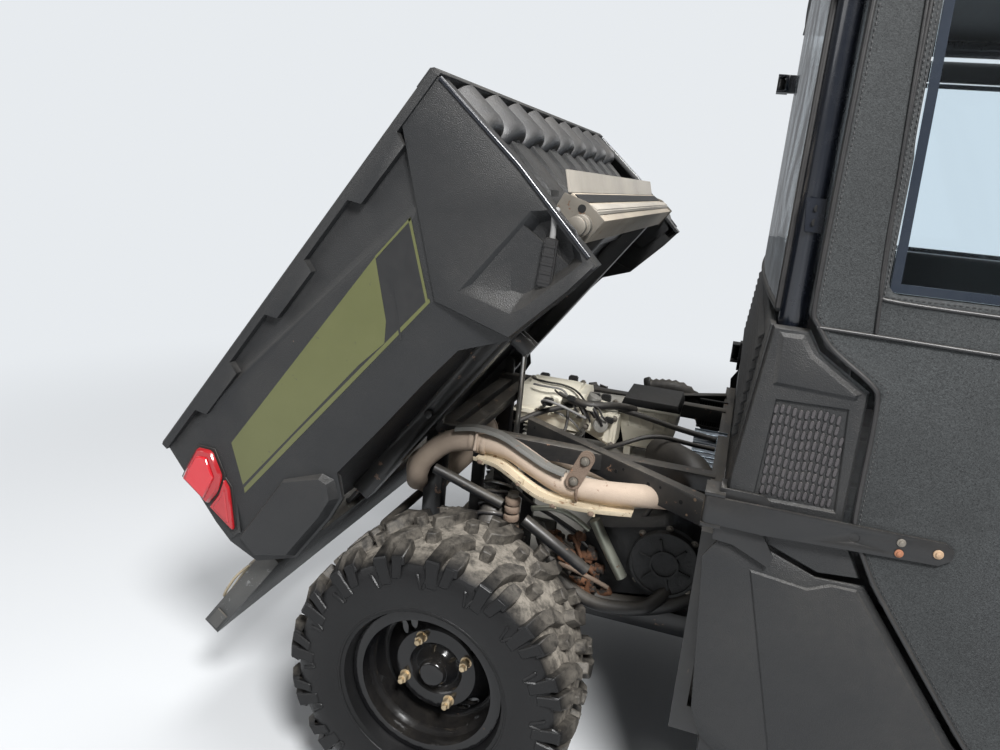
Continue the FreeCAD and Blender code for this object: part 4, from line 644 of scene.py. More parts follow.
# Columns: low end, high end, radius, finish, sides, edge
link = []
for low, high, radius, finish, sides, edge in (
    (566, 583, 19.5, steel_rust, 24, 4), (588, 605, 19.5, steel_rust, 24, 4), (608, 625, 19.5, steel_rust, 24, 4),
    (540, 642, 8, steel_dull, 14, 1), (628, 640, 14, steel_dull, 6, 1),
):
    link.append(drum("link", (55, -400, low), (55, -400, high), radius, finish, sides=sides, edge=edge))
joined("drop_link", link)

# Dampers and steering rack: painted bodies with bright rods, and a painted coil spring round each
# damper between two pressed seats.
bright = worn("machined_steel", (0.55, 0.55, 0.53), "bright_steel", metallic=1.0, roughness=0.3, dust=0.15,
              grain_depth=0.02)
spring_paint = worn("spring_paint", (0.03, 0.03, 0.033), "black_steel", coat=0.3, roughness=0.3, dust=0.3,
                    chips=0.08)
dress(("steering_rack", "strut_rod"), bright, 0.6)
dress(("shocks",), worn("damper_paint", (0.028, 0.028, 0.03), roughness=0.35, dust=0.3, chips=0.08), 1.0)
wheelbase = 2060
# Columns: axle, its x, lower eye's y and z, upper eye's y and z, damper's radius
for axle, x, low_y, low_z, high_y, high_z, barrel in (("rear", 0, 465, 436.2, 329.3, 640, 31),
                                                      ("front", wheelbase, 480, 442.4, 259.3, 625, 29)):
    for label, side in (("left", 1), ("right", -1)):
        low = Vector((x, side * low_y, low_z))
        run = Vector((x, side * high_y, high_z)) - low
        across = run.cross(Vector((1, 0, 0))).normalized()
        other = run.cross(across).normalized()
        coil = []
        for k in range(97):
            turn = 2 * math.pi * k / 16
            middle = low + run * (0.22 + 0.66 * k / 96)
            coil.append(middle + (across * math.cos(turn) + other * math.sin(turn)) * (barrel + 4))
        tube(f"spring_{axle}_{label}", coil, 5.5, spring_paint, kind="POLY", sides=3)
        for k, share in ((2, 0.2), (9, 0.9)):
            drum(f"spring_seat_{axle}_{label}_{k}", low + run * share, low + run * (share + 0.03), barrel + 10,
                 bright, sides=28, edge=2)

# Rims: pressed steel in gloss black, held by brass-coloured lug nuts on flat seats, with a domed
# cap over each hub.
rim_paint = worn("rim_paint", (0.004, 0.0042, 0.005), "rim_paint", coat=0.2, specular=0.3, roughness=0.16,
                 dust=0.05, chips=0.03, grain_depth=0.02)
brass = worn("lug_nut_brass", (0.50, 0.40, 0.26), "bright_steel", metallic=0.9, roughness=0.4, dust=0.3,
             chips=0.12, blotch=0.5)
wheel_z = 325
disc_face = 32
cap_seat = 47
# Axle: its x, wheel centre y, tyre width, rim width, disc's offset outboard, side wall's place
axles = {"rear": (0, 654.5, 279, 203, 10, 139), "front": (wheelbase, 679.5, 229, 178, 25, 114)}
sides = (("left", 1), ("right", -1))
for axle, (x, centre, width, rim_width, dish, wall) in axles.items():
    for label, side in sides:
        wheel = f"{axle}_{label}"
        dress(("rim_" + wheel,), rim_paint, 1.0)
        face = side * (centre + dish + disc_face)
        nuts = []
        for k in range(4):
            turn = math.radians(28 + 90 * k)
            seat = Vector((x + 78 * math.cos(turn), face, wheel_z + 78 * math.sin(turn)))
            # Columns: near end, far end, radius, sides, edge
            for near, far, radius, corners, edge in ((-4, 4, 13, 20, 1), (3, 22, 10.5, 6, 1.5),
                                                     (20, 31, 6, 14, 1)):
                start = seat + Vector((0, side * near, 0))
                end = seat + Vector((0, side * far, 0))
                nuts.append(drum("nut", start, end, radius, brass, "wheel_" + wheel, sides=corners, edge=edge))
        joined("lug_nuts_" + wheel, nuts)
        cap = side * (centre + dish + cap_seat)
        drum("hub_cap_" + wheel, (x, cap, wheel_z), (x, cap + side * 13, wheel_z), 33, rim_paint,
             "wheel_" + wheel, sides=32, edge=4, top=27)


# Tyres: a round rubber casing with two crowned rows of long and short shoulder lugs that wrap down
# the side wall, and short lugs between them, sandy with dust. One is moulded for each axle width.
def dusty_rubber():
    """Rubber whose tread is sandy with dust and whose side wall stays black and satin."""
    material = worn("tread_rubber", (0.0065, 0.0065, 0.0068), "tyre_rubber", specular=0.25, roughness=0.40,
                    dust=0.0, grain_scale=350.0, grain_depth=0.25, blotch=0.3)
    tree = material.node_tree
    shader = tree.nodes["Principled BSDF"].inputs
    rubber = next(node for node in tree.nodes if node.type == "GROUP").outputs
    tread = wire(tree, "Attribute", out="Fac", attribute_name="tread")
    coarse = cloud(tree, wire(tree, "TexCoord", out="Object"), 42.0, 8.0, 0.75)
    cover = maths(tree, "MULTIPLY", span(tree, coarse, 0.36, 0.56, 0.25), tread, use_clamp=True)
    sand = mixed(tree, coarse, (0.07, 0.064, 0.055, 1), (0.30, 0.268, 0.225, 1))
    tree.links.new(mixed(tree, cover, rubber["Color"], sand), shader["Base Color"])
    rough = maths(tree, "MULTIPLY_ADD", cover, 0.45, rubber["Roughness"], use_clamp=True)
    tree.links.new(rough, shader["Roughness"])
    return material


pitch_radius = 0.312


def crown(share):
    """Radius of the casing under a point at that share of the half width, in metres."""
    return 0.301 - 0.010 * abs(share) ** 3


def block(shape, rings):
    """A lug's top and walls, from its low and its high ring of points."""
    low, high = [[shape.verts.new(point) for point in ring] for ring in rings]
    shape.faces.new(high)
    for k in range(len(low)):
        after = (k + 1) % len(low)
        shape.faces.new((low[k], low[after], high[after], high[k]))


def lug(shape, outline, half, turn, side, drop):
    """One tread lug: its outline is bent round the casing and its top follows the crown."""
    middle_t = sum(t for t, share in outline) / len(outline)
    middle_s = sum(share for t, share in outline) / len(outline)
    rings = []
    for raised_by, shrink in ((-0.006, 1.0), (0.0238 - drop, 0.86)):
        ring = []
        for t, share in outline:
            outer = share > 0.9 and shrink < 1
            across = share if outer else middle_s + (share - middle_s) * shrink
            radius = crown(across) + raised_by - (0.012 if outer else 0.0)
            angle = turn + side * (middle_t + (t - middle_t) * shrink) / 1000 / pitch_radius
            ring.append((radius * math.sin(angle), side * across * half, radius * math.cos(angle)))
        rings.append(ring)
    block(shape, rings)


def wedge(shape, start, end, lean, low, high, half, turn, side, out_low, out_high):
    """A bar on the side wall from radius low to high, leaning round the tyre, proud of the wall."""
    corners = ((low, start + lean, out_low), (low, end + lean, out_low), (high, end, out_high),
               (high, start, out_high))
    rings = []
    for depth in (-0.012, 0.0):
        ring = []
        for radius, t, out in corners:
            angle = turn + side * t / 1000 / pitch_radius
            ring.append((radius * math.sin(angle), side * (half * out + depth), radius * math.cos(angle)))
        rings.append(ring)
    block(shape, rings)


def build_tyre(name, width, rim_width):
    """The whole tyre as a mesh centred on the wheel."""
    half = width / 2000
    bead = (rim_width / 2 - 7.3) / (width / 2)
    # Columns: share of the half width, radius in mm, from the bead up to the tread
    wall = ((bead, 154.4), (bead, 170), (0.90, 178), (0.955, 192), (0.985, 212), (1.0, 236), (0.985, 258),
            (0.955, 274), (0.91, 285), (0.80, 293))
    profile = [(-share, radius / 1000) for share, radius in wall]
    profile += [(share, crown(share)) for share in (-0.6, -0.3, 0.0, 0.3, 0.6)]
    profile += [(share, radius / 1000) for share, radius in reversed(wall)]
    casing = bmesh.new()
    steps = 96
    rows = []
    for k in range(steps):
        angle = 2 * math.pi * k / steps
        rows.append([casing.verts.new((r * math.sin(angle), s * half, r * math.cos(angle))) for s, r in profile])
    for near, far in zip(rows, rows[1:] + rows[:1]):
        for j in range(len(profile)):
            i = (j + 1) % len(profile)
            casing.faces.new((near[j], near[i], far[i], far[j]))
    lugs = bmesh.new()
    long_lug = ((-42, 0.97), (-6, 0.97), (-2, 0.72), (12, 0.42), (36, 0.20), (18, 0.06), (-14, 0.26),
                (-30, 0.50))
    short_lug = ((4, 0.97), (36, 0.97), (44, 0.80), (40, 0.58), (16, 0.58), (8, 0.74))
    middle_lug = ((52, 0.42), (74, 0.40), (80, 0.22), (62, 0.14), (46, 0.24))
    pitches = 16
    for k in range(pitches):
        for side in (-1, 1):
            turn = 2 * math.pi * (k + (0.25 if side > 0 else 0.75)) / pitches
            for outline, drop in ((long_lug, 0.0), (short_lug, 0.001), (middle_lug, 0.0015)):
                lug(lugs, outline, half, turn, side, drop)
            wedge(lugs, -38, -8, 6, 0.246, 0.303, half, turn, side, 1.012, 0.975)
            wedge(lugs, 8, 32, -8, 0.258, 0.302, half, turn, side, 1.008, 0.972)
            for lean, later in ((12, 0.0), (-12, side * 0.09)):
                wedge(lugs, -60, -51, lean, 0.240, 0.272, half, turn + later, side, 1.018, 0.992)
    bmesh.ops.recalc_face_normals(lugs, faces=lugs.faces)
    bmesh.ops.bevel(lugs, geom=lugs.edges[:], offset=0.0022, segments=1, affect="EDGES", clamp_overlap=True)
    mesh = bpy.data.meshes.new(name)
    lugs.to_mesh(mesh)
    lugs.free()
    casing.from_mesh(mesh)
    bmesh.ops.recalc_face_normals(casing, faces=casing.faces)
    casing.to_mesh(mesh)
    casing.free()
    return mesh


tread_rubber = dusty_rubber()
for axle, (x, centre, width, rim_width, dish, wall) in axles.items():
    moulded = build_tyre("tyre_" + axle, width, rim_width)
    for label, side in sides:
        wheel = f"{axle}_{label}"
        dress(("tyre_" + wheel,), tread_rubber, 0)
        mesh = moulded.copy()
        for vertex in mesh.vertices:
            vertex.co.y *= side
        if side < 0:
            mesh.flip_normals()
        hub = at(x, side * centre, wheel_z)
        piece = added("treaded_tyre_" + wheel, mesh)
        piece.location = hub
        ready(piece, tread_rubber, "wheel_" + wheel, 30)
        sandy = []
        for vertex in piece.data.vertices:
            local = vertex.co - hub
            radius = math.hypot(local.x, local.z)
            share = abs(local.y) / (width / 2000)
            crowned = max(0.0, min(1.0, (radius - 0.289) / 0.010))
            topped = 0.42 if radius > 0.311 else 1.0
            sandy.append(crowned * topped * (1.0 if share < 0.80 else max(0.0, 1.0 - (share - 0.80) / 0.12)))
        piece.data.attributes.new("tread", "FLOAT", "POINT").data.foreach_set("value", sandy)
        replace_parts(piece, "tyre_" + wheel)
        for k, radius in enumerate((188, 199, 232)):
            y = side * (centre + wall * (0.955 if radius < 200 else 1.0) - 2.5)
            turns = [math.pi * step / 32 for step in range(64)]
            ring = [(x + radius * math.cos(turn), y, wheel_z + radius * math.sin(turn)) for turn in turns]
            tube(f"sidewall_ring_{wheel}_{k}", ring, 2.8, tread_rubber, "wheel_" + wheel, kind="POLY", sides=2,
                 closed=True)

# Side panel: the insert behind the door has a moulded tread pattern of short upright bars, cut off
# at the panel's edge.
tread_grey = worn("tread_grey", (0.034, 0.031, 0.034), "black_plastic", roughness=0.5, dust=0.1, grain_depth=0.4)
pattern = []
for row in range(9):
    for column in range(12):
        z = 893 + 18.2 * row + 2.2 * math.sin(column * 1.1)
        x = 587 + 9.9 * column - (z - 893) * 0.012
        if x > 699 - (z - 893) * 0.04 or z > 1047:
            continue
        bar = ((-3.1, -4), (-1.2, -7.6), (1.8, -7.6), (3.1, -4), (3.1, 4.4), (1.2, 7.8), (-1.8, 7.8), (-3.1, 4.4))
        pattern.append(plate("bar", [(x + dx + dz * 0.12, z + dz) for dx, dz in bar], -739.9, -2.6, tread_grey,
                             edge=0.8, segments=1))
joined("panel_tread_right", pattern)

# Cage and screens: gloss black round tube and clear sheet, with rubber trim round the rear screen,
# a two-hole bracket on each rear pillar and louvres on the wall below.
cage_paint = worn("cage_paint", (0.006, 0.008, 0.013), "black_steel", coat=0.3, roughness=0.25, dust=0.08,
                  grain_depth=0.03)
dress(("roll_cage",), cage_paint, 1.0)
wheel_grip = worn("wheel_grip", (0.02, 0.02, 0.021), roughness=0.55, dust=0.1, grain_depth=0.3)
dress(("steering_wheel",), wheel_grip, 2.0)
sheet = {"Base Color": (0.86, 0.93, 0.97, 1), "Transmission Weight": 1.0, "Roughness": 0.03, "IOR": 1.25}
clear, tree, shader = shaded("clear_sheet", sheet)
ripple = cloud(tree, wire(tree, "TexCoord", out="Object"), 6.0, 1.0)
bump = wire(tree, "Bump", {"Height": ripple, "Strength": 0.06, "Distance": 0.02})
tree.links.new(bump, shader.inputs["Normal"])
dress(("cab_windows", "door_window_left", "door_window_right"), clear, 0)
dress(("headlamps",), clear, 2.0)
screen_trim = worn("screen_trim", (0.010, 0.010, 0.011), "black_plastic", roughness=0.4, dust=0.15)
screen_low = 1203
screen_high = 1857
for z in (screen_low, screen_high):
    arc = [(561.7 - 20 * (1 - (y / 703) ** 2), y, z) for y in range(-700, 701, 100)]
    tube(f"rear_screen_trim_{z}", arc, 6.5, screen_trim)
for label, side in sides:
    upright = [(561.5, side * 699, z) for z in (screen_low, 1530, screen_high)]
    tube("rear_screen_edge_" + label, upright, 6.5, screen_trim, kind="POLY")
    plate("pillar_bracket_" + label, [(571, 1386), (603, 1386), (606, 1332), (577, 1332)], side * 725, side * 4,
          cage_paint, edge=1.2)
    # Each bracket's two holes are dark discs of painted shade.
    holes = []
    for z in (1348, 1370):
        holes.append(drum("hole", (589, side * 728.5, z), (590, side * 729.4, z), 5.5, painted_hole_shade, sides=20))
    joined("pillar_hole_shades_" + label, holes)
louvres = []
for k in range(10):
    z = 950 + 21 * k
    x = 530 + (z - 915) * 22 / 265
    louvres.append(plate("louvre", [(x - 9, z - 5), (x + 1, z + 4), (x + 1, z + 9), (x - 9, z)], -640, 1280,
                         black_plastic, edge=1))
joined("rear_wall_louvres", louvres)


# Soft doors: coated canvas over a frame, wrinkled between its hems, with piping along its edge,
# rows of stitching round the clear window, a dark tape on the window's edge and a latch pull.
def soft_skin(name, node, voxel, factor, rounds):
    """A soft skin over a CAD node: its mesh welded, divided evenly and smoothed."""
    skin = added(name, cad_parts[node].data.copy())
    pick(skin)
    skin.modifiers.new("weld", "WELD").merge_threshold = 0.00002
    remesh = skin.modifiers.new("remesh", "REMESH")
    remesh.mode = "VOXEL"
    remesh.voxel_size = voxel
    soften = skin.modifiers.new("soften", "SMOOTH")
    soften.factor = factor
    soften.iterations = rounds
    for step in ("weld", "remesh", "soften"):
        bpy.ops.object.modifier_apply(modifier=step)
    return skin


def woven_canvas():
    """Coated canvas: a fine weave of black and grey threads with slubs, faded in broad patches."""
    given = {"Specular IOR Level": 0.25, "Sheen Weight": 0.06}
    material, tree, shader = shaded("door_canvas", given)
    place = wire(tree, "TexCoord", out="Object")
    long_way = wire(tree, "Mapping", {"Vector": place, "Scale": (1.0, 1.0, 0.45)})
    cross_way = wire(tree, "Mapping", {"Vector": place, "Scale": (0.4, 1.0, 1.0)})
    threads = maths(tree, "MAXIMUM", cloud(tree, long_way, 900.0, 2.0, 0.7), cloud(tree, cross_way, 800.0, 2.0))
    mottled = cloud(tree, place, 300.0, 4.0, 0.8)
    fleck = maths(tree, "MULTIPLY_ADD", mottled, 0.55, threads)
    colour = mixed(tree, span(tree, fleck, 0.62, 1.02), (0.0055, 0.006, 0.0065, 1), (0.040, 0.043, 0.044, 1))
    shade = span(tree, cloud(tree, place, 3.5, 4.0), 0.3, 0.7, 0.8, 1.2)
    faded = wire(tree, "VectorMath", {0: colour, "Scale": shade}, operation="SCALE")
    tree.links.new(faded, shader.inputs["Base Color"])
    tree.links.new(span(tree, mottled, 0.0, 1.0, 0.55, 0.85), shader.inputs["Roughness"])
    bump = wire(tree, "Bump", {"Height": fleck, "Strength": 0.5, "Distance": 0.0012})
    tree.links.new(bump, shader.inputs["Normal"])
    return material


def edges(outline):
    """Each pair of neighbouring points round a closed outline."""
    return zip(outline, outline[1:] + outline[:1])


def inward(outline, distance):
    """The (x, z) outline with its edges moved inward, or outward by less than nothing."""
    area = sum(ax * bz - bx * az for (ax, az), (bx, bz) in edges(outline))
    off = distance if area > 0 else -distance
    lines = []
    for (ax, az), (bx, bz) in edges(outline):
        length = math.hypot(bx - ax, bz - az)
        ux = (bx - ax) / length
        uz = (bz - az) / length
        lines.append((ax - uz * off, az + ux * off, ux, uz))
    moved = []
    for (ax, az, ux, uz), (bx, bz, vx, vz) in zip(lines[-1:] + lines[:-1], lines):
        share = ((bx - ax) * vz - (bz - az) * vx) / (ux * vz - uz * vx)
        moved.append((ax + ux * share, az + uz * share))
    return moved


def stitches(name, outline, y, side, body, step=8.5):
    """A row of short raised threads along an outline on the door's outer face."""
    shape = bmesh.new()
    for (ax, az), (bx, bz) in edges(outline):
        length = math.hypot(bx - ax, bz - az)
        ux = (bx - ax) / length
        uz = (bz - az) / length
        count = max(1, int(length / step))
        for k in range(count):
            x = ax + (bx - ax) * (k + 0.5) / count
            z = az + (bz - az) * (k + 0.5) / count
            ends = []
            for reach, width, rise in ((-2.6, 0.5, 0.0), (-1.6, 0.7, 0.9), (1.6, 0.7, 0.9), (2.6, 0.5, 0.0)):
                pair = [at(x + ux * reach - uz * w, side * (y + rise), z + uz * reach + ux * w)
                        for w in (-width, width)]
                ends.append([shape.verts.new(point) for point in pair])
            for (a, b), (c, d) in zip(ends, ends[1:]):
                shape.faces.new((a, b, d, c) if side < 0 else (a, c, d, b))
    mesh = bpy.data.meshes.new(name)
    shape.to_mesh(mesh)
    shape.free()
    return ready(added(name, mesh), stitch_thread, body, 60)


def rounded(outline, y, turn_in=14):
    """Control points along an (x, z) outline that keep near its corners, at one y."""
    points = []
    for k, (x, z) in enumerate(outline):
        for ax, az in (outline[k - 1], outline[(k + 1) % len(outline)]):
            share = min(turn_in / math.hypot(ax - x, az - z), 0.4)
            points.append((x + (ax - x) * share, y, z + (az - z) * share))
    return points


door_canvas = woven_canvas()
piping_vinyl = worn("piping_vinyl", (0.012, 0.012, 0.013), "door_fabric", roughness=0.42, dust=0.1,
                    grain_depth=0.05)
stitch_thread = worn("stitch_thread", (0.02, 0.02, 0.021), "door_fabric", roughness=0.7, dust=0.05,
                     grain_depth=0.1)
window_tape = worn("window_tape", (0.012, 0.017, 0.026), "black_plastic", coat=0.5, roughness=0.18, dust=0.08,
                   grain_depth=0.02)
dress(("door_panel_left", "door_panel_right"), door_canvas, 6.0)
door_edge = [(606, 1202), (606, 1835), (1290, 1835), (1636, 1055), (1636, 470), (1610, 406), (1100, 406),
             (976, 508), (784, 764), (732, 862), (730, 1096), (642, 1153), (618, 1190)]
window_edge = [(715, 1255), (700, 1770), (1245, 1770), (1473, 1255)]
face_y = 0.749
seam_y = 757.2
for label, side in sides:
    body = "door_" + label
    cover = soft_skin("door_cover_" + label, "door_panel_" + label, 0.0085, 0.5, 3)
    for vertex in cover.data.vertices:
        x, y, z = vertex.co
        if abs(y) < face_y:
            continue
        slack = noise.noise(Vector((x * 2.2 + 5.0 * side, 0.3, z * 2.0))) * 0.6
        fold = noise.noise(Vector((x * 9.0 + z * 5.0, 2.0 * side, z * 3.0 - x * 2.0)))
        crease = 1.0 - abs(noise.noise(Vector((x * 5.0 - z * 3.0, 7.0, z * 6.0 + x * 2.0)))) * 2.4
        rise = 0.0011 * slack + 0.0010 * fold + 0.0016 * max(0.0, crease - 0.55)
        vertex.co.y += side * min(max(rise, -0.002), 0.0012)
    ready(cover, door_canvas, body, 60)
    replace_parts(cover, "door_panel_" + label)
    for name, outline, radius in (("door_piping_", inward(door_edge, 5), 4.2),
                                  ("window_piping_", inward(window_edge, -17), 3.0)):
        tube(name + label, rounded(outline, side * 756), radius, piping_vinyl, body, sides=3, closed=True)
    stitches("door_stitch_a_" + label, inward(door_edge, 14), 757, side, body)
    stitches("window_stitch_a_" + label, inward(window_edge, -6), seam_y, side, body)
    stitches("window_stitch_b_" + label, inward(window_edge, -12), seam_y, side, body)
    tape = []
    for outer, inner in zip(edges(inward(window_edge, 1)), edges(inward(window_edge, 15))):
        strip = [outer[0], outer[1], inner[1], inner[0]]
        tape.append(plate("tape", strip, side * 749.3, side * 1.2, window_tape, body))
    joined("window_tape_" + label, tape)
    low_seam = ((622, 1187), (700, 1186), (860, 1182), (1100, 1178), (1350, 1180), (1560, 1186))
    high_seam = ((709, 1190), (693, 1380), (676, 1800))
    for name, seam, radius in (("door_seam_", low_seam, 3.0), ("door_seam_b_", high_seam, 2.6)):
        tube(name + label, [(x, side * seam_y, z) for x, z in seam], radius, piping_vinyl, body, sides=3)
    plate("latch_plate_" + label, [(1500, 800), (1590, 800), (1590, 850), (1500, 850)], side * 756.5, side * 3,
          black_plastic, body, edge=1)
    pull = ((1510, 758), (1515, 766), (1545, 768), (1575, 766), (1580, 758))
    tube("latch_pull_" + label, [(x, side * y, 825) for x, y in pull], 5, piping_vinyl, body)

# Bench: foam cushion and back under vinyl covers, with sewn channels that pull the vinyl in.
# The covers are one soft skin over the seat's own shape.
seat_vinyl = worn("seat_vinyl", (0.030, 0.030, 0.032), "seat_cover", roughness=0.5, dust=0.12,
                  grain_scale=420.0, grain_depth=0.5, blotch=0.2)
dress(("seat",), seat_vinyl, 20)
bench = soft_skin("bench_covers", "seat", 0.013, 0.8, 10)
back_x = at(690, 0, 0).x
for vertex in bench.data.vertices:
    co = vertex.co
    for seam in (-0.2, 0.2, -0.36, 0.36):
        groove = max(0.0, 1.0 - abs(co.y - seam) / 0.014)
        if co.z < 0.79:
            co.z -= 0.007 * groove * (co.z > 0.72)
        elif co.x > back_x:
            co.x -= 0.007 * groove
    co.z += 0.003 * noise.noise(co * 7)
ready(bench, seat_vinyl, "vehicle", 60)
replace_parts(bench, "seat")

# Door hinges: painted steel straps on pins, each lower strap held to the door by three rivets of
# which the end one is larger, weathered grey, rusty and tan.
strap_paint = worn("strap_paint", (0.010, 0.0105, 0.0115), specular=0.4, roughness=0.33, dust=0.10, chips=0.03,
                   grain_depth=0.12, grain_scale=240.0)
rivet_rust = worn("rivet_rust", (0.30, 0.13, 0.07), "bright_steel", metallic=0.4, roughness=0.6, dust=0.1,
                  blotch=0.7)
rivet_tan = worn("rivet_tan", (0.36, 0.25, 0.16), "bright_steel", metallic=0.4, roughness=0.6, dust=0.1,
                 blotch=0.7)
dress(("hinge_brackets", "door_hinge_left", "door_hinge_right"), strap_paint, 1.0)
for label, side in sides:
    for k, (x, z, finish, size) in enumerate(((812, 857, steel_dull, 7), (812, 838, rivet_rust, 7),
                                              (868, 850, rivet_tan, 8))):
        drum(f"strap_rivet_{label}_{k}", (x, side * 763, z), (x, side * 766, z), size, finish, "door_" + label,
             sides=20, edge=1.2)
        drum(f"strap_rivet_dome_{label}_{k}", (x, side * 765, z), (x, side * 768.5, z), size * 0.55, finish,
             "door_" + label, sides=16, edge=1.2)

# Hood and bed sides: the hood is olive plastic. On each bed side lies a band of thin satin vinyl
# film, olive over black, with a thin line below and a black wedge at its front.
dress(("hood",), worn("olive_plastic", (0.085, 0.093, 0.036), coat=0.2, roughness=0.35, dust=0.12,
                      grain_depth=0.05), 3.0)
film = {"slot": "olive_plastic", "roughness": 0.38, "dust": 0.08, "chip_color": (0.03, 0.03, 0.03),
        "blotch": 0.12, "grain_depth": 0.04}
olive_film = worn("olive_film", (0.076, 0.081, 0.030), chips=0.07, **film)
dark_film = worn("dark_film", (0.012, 0.0125, 0.0135), chips=0.03, **film)
# Columns: name, finish, how far it stands off the skin, outline
bands = (
    ("band_base", dark_film, 0.25, ((264, 1008), (170, 884), (-448, 931), (-380, 1019))),
    ("band_olive", olive_film, 0.5, ((160, 1016), (80, 921), (44, 896), (-30, 908), (-440, 939), (-384, 1017))),
    ("band_front_line", olive_film, 0.5, ((266, 1009), (172, 884), (166, 885), (259, 1009))),
    ("band_low_line", olive_film, 0.55, ((176, 884), (172, 878), (-452, 924), (-444, 933), (-260, 921))),
    ("band_top_line", olive_film, 0.5, ((266, 1009), (160, 1017), (158, 1013), (262, 1005))),
    ("band_mid_line", dark_film, 0.6, ((146, 958), (76, 874), (72, 876), (141, 959))),
)
for label, side in sides:
    for name, finish, off, outline in bands:
        plate(f"{name}_{label}", outline, side * (745 + off), side * 0.2, finish, "bed")

# Bed latch and channel ends: a ribbed rubber grip on a bent rod in each pocket, and the channel's
# steel end bracket with the clamp on its round tube. A gloss roll closes the skin's front edge.
for label, side in sides:
    grip_low = Vector((342, side * 733, 738))
    grip_high = Vector((418, side * 737, 785))
    run = (grip_high - grip_low).normalized()
    across = Vector((0, 1, 0)).cross(run).normalized()
    inset = Vector((0, side * 6, 0))
    grip = [grip_low - inset + across * 14, grip_low - inset - across * 14, grip_high - inset - across * 12,
            grip_high - inset + across * 12]
    prism("latch_grip_" + label, grip, (0, side * 15, 0), piping_vinyl, "bed", "black_plastic", 3)
    ribs = []
    for k in range(5):
        centre = grip_low + (grip_high - grip_low) * (0.12 + 0.18 * k)
        rib = [centre + across * wide + run * long for wide, long in ((11, 2), (11, -2), (-11, -2), (-11, 2))]
        ribs.append(prism("grip_rib", rib, (0, side * 10.5, 0), piping_vinyl, "bed", "black_plastic"))
    joined("latch_grip_ribs_" + label, ribs)
    rod = [grip_high - run * 10, grip_high + run * 18, (446, side * 738, 806), (452, side * 728, 812),
           (455, side * 712, 815)]
    tube("latch_rod_" + label, rod, 5.5, wire_grey, "bed")
    # The pocket's hole and the channel's hole are dark discs of painted shade.
    # Columns: name, x, z, near y, far y, radius, finish, slot, sides, edge
    for name, x, z, near, far, radius, finish, slot, corners, edge in (
        ("pocket_hole_", 382, 812, 722, 724.2, 7, painted_hole_shade, "black_plastic", 20, 0),
        ("tube_clamp_", 449.5, 776.8, 618, 640, 21, steel_dull, "bright_steel", 28, 2),
        ("tube_end_", 449.5, 776.8, 655, 672, 18, steel_dull, "bright_steel", 28, 2),
        ("channel_hole_", 470, 800, 604.5, 605.6, 8, painted_hole_shade, "channel_grey", 20, 0),
    ):
        drum(name + label, (x, side * near, z), (x, side * far, z), radius, finish, "bed", corners, edge)
    bracket = [(418, 752), (482, 752), (486, 800), (470, 846), (418, 838)]
    plate("channel_end_" + label, bracket, side * 601, side * 4, steel_dull, "bed", "channel_grey", 1)
    roll = [(488, side * 749, 1118), (472, side * 750, 912), (440, side * 750, 712)]
    tube("front_roll_" + label, roll, 4.5, cage_paint, "bed", kind="POLY")

# Headboard and tub floor: deep round ribs with blunt ends and shallow floor ribs, all moulded in plastic, and the
# dusty steel channel with its turned flanges over its hollow, where a thin dark sheet is painted shade.
rib_plastic = worn("rib_plastic", (0.020, 0.021, 0.023), "black_plastic", roughness=0.42, dust=0.12,
                   grain_depth=0.35, grain_scale=520.0)
channel_dust = worn("channel_dust", (0.30, 0.275, 0.24), "channel_grey", roughness=0.6, dust=0.35, chips=0.05,
                    blotch=0.35, grain_depth=0.15)
dress(("headboard_channel",), worn("dusty_channel", (0.30, 0.26, 0.21), roughness=0.65, dust=0.6, chips=0.1,
                                   blotch=0.4), 1.0)
blunt = (1.0, 1.0, 1.0, 0.975, 0.92, 0.84, 0.72)
rib_pitch = 152.5
floor_rib_pitch = 150
rib_tubes = []
floor_ribs = []
for k in range(-4, 5):
    line = [(435 - (1120 - z) * 0.09, rib_pitch * k, z) for z in (1121, 1090, 1046, 1036, 1029, 1024, 1022)]
    rib_tubes.append(tube("rib", line, 62.8, rib_plastic, "bed", kind="POLY", radii=blunt, sides=10))
    y = floor_rib_pitch * k
    foot = [(-520, y - 22, 820), (395, y - 22, 820), (395, y + 22, 820), (-520, y + 22, 820)]
    floor_ribs.append(prism("rib", foot, (0, 0, 6), black_plastic, "bed", edge=3))
joined("headboard_rib_tubes", rib_tubes)
joined("bed_floor_ribs", floor_ribs)
flanges = []
for outline, edge in (([(476, 838), (504, 872), (501, 875), (473, 842)], 0.8),
                      ([(478, 800), (486, 794), (487, 776), (478, 770)], 2.5)):
    flanges.append(plate("flange", outline, -598, 1196, channel_dust, "bed", edge=edge))
joined("channel_flanges", flanges)
# A thin dark sheet of painted shade in the channel's hollow.
plate("channel_shade", [(478.8, 806), (478.8, 830), (479.6, 830), (479.6, 806)], -596, 1192, painted_hole_shade, "bed",
      "channel_grey")

# Tailgate: scuffed plastic with pressed ribs on its inner face, a latch at each corner and a loop
# of stay cable on an eye.
scuffed = worn("scuffed_plastic", (0.035, 0.037, 0.038), "grey_plastic", roughness=0.5, dust=0.35, chips=0.12,
               chip_color=(0.12, 0.125, 0.125), blotch=0.5, grain_depth=0.5, grain_scale=500.0)
cable_tan = worn("cable_tan", (0.30, 0.25, 0.17), "bright_steel", roughness=0.6, dust=0.3, grain_depth=0.3)
dress(("tailgate",), scuffed, 3.0)
ribs = []
for k in range(8):
    y = (k - 3.5) * 160
    foot = [(-840, y - 40, 819.5), (-600, y - 40, 819.5), (-600, y + 40, 819.5), (-840, y + 40, 819.5)]
    ribs.append(prism("rib", foot, (0, 0, 5), scuffed, "tailgate", edge=3))
joined("tailgate_ribs", ribs)
loop = ((-640, 672, 822), (-690, 676, 834), (-760, 668, 830), (-800, 655, 826), (-785, 640, 824),
        (-730, 645, 828), (-680, 660, 826), (-655, 664, 824))
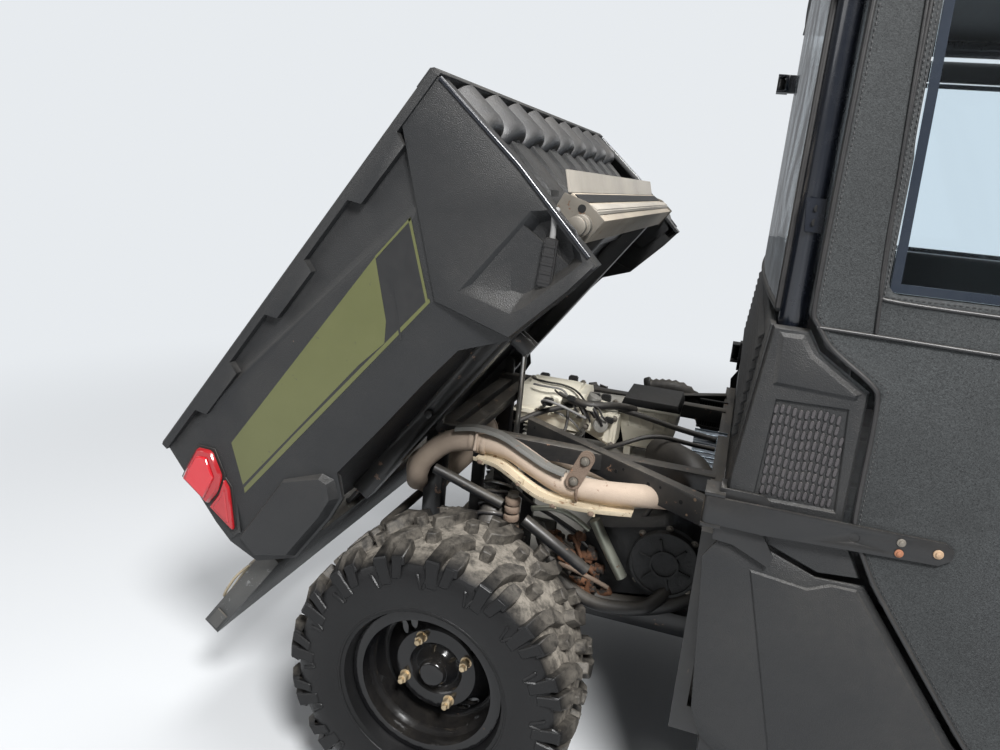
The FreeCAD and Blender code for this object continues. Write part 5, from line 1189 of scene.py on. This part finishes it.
for label, side in sides:
    tube("stay_cable_" + label, [(x, side * y, z) for x, y, z in loop], 3.2, cable_tan, "tailgate")
    drum("cable_eye_" + label, (-645, side * 668, 820), (-645, side * 668, 828), 9, steel_dull, "tailgate",
         sides=20, edge=1)
    plate("gate_latch_" + label, [(-850, 782), (-800, 782), (-800, 812), (-850, 812)], side * 684.2, side * 5,
          scuffed, "tailgate", edge=1)

# Tail lamps: a deep red plastic bezel that wraps to the bed's rear edge, with a facet on its upper part painted a
# brighter red for the light that falls on it, and a smaller lens below, seated on a black gasket.
lamp_red = worn("lamp_red", (0.30, 0.005, 0.010), "lamp_red", coat=0.7, roughness=0.16, dust=0.08,
                grain_depth=0.0)
# The upper facet is a brighter copy of the lamp's red: painted light where light falls on it.
painted_light_facet = worn("painted_light_facet", (0.44, 0.006, 0.014), "lamp_red", coat=0.9, roughness=0.12, dust=0.05,
                 grain_depth=0.0)
gasket = worn("lamp_gasket", (0.006, 0.006, 0.006), "lamp_red", roughness=0.6, dust=0.1)
dress(("tail_lamps",), lamp_red, 3.0)
# Columns: name, start and end off the middle, finish, edge, outline
lamp_parts = (
    ("gasket_upper", 744.5, 747.5, gasket, 1,
     ((-545, 1060), (-508, 1067), (-450, 1074), (-425, 1038), (-455, 981), (-499, 967), (-545, 968))),
    ("gasket_lower", 744.5, 747.0, gasket, 1,
     ((-545, 970), (-497, 970), (-458, 982), (-464, 954), (-536, 886), (-545, 886))),
    ("bezel_upper", 745, 757, lamp_red, 7.5,
     ((-543, 1056), (-508, 1063), (-453, 1070), (-430, 1038), (-459, 984), (-501, 971), (-543, 972))),
    ("bezel_lower", 745, 755, lamp_red, 5.5,
     ((-543, 966), (-499, 966), (-462, 978), (-469, 956), (-537, 891), (-543, 891))),
    ("facet_upper", 755, 761.5, painted_light_facet, 3,
     ((-534, 1046), (-508, 1053), (-466, 1058), (-449, 1037), (-474, 996), (-534, 985))),
    ("facet_lower", 753, 758.0, lamp_red, 2.5, ((-535, 958), (-502, 958), (-476, 963), (-535, 906))),
)
for label, side in sides:
    for name, start, end, finish, edge, outline in lamp_parts:
        lens = plate(f"lamp_{name}_{label}", outline, side * start, side * (end - start), finish, "bed",
                     edge=edge, segments=1)
        if name == "bezel_upper":
            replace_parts(lens, "tail_lamps")
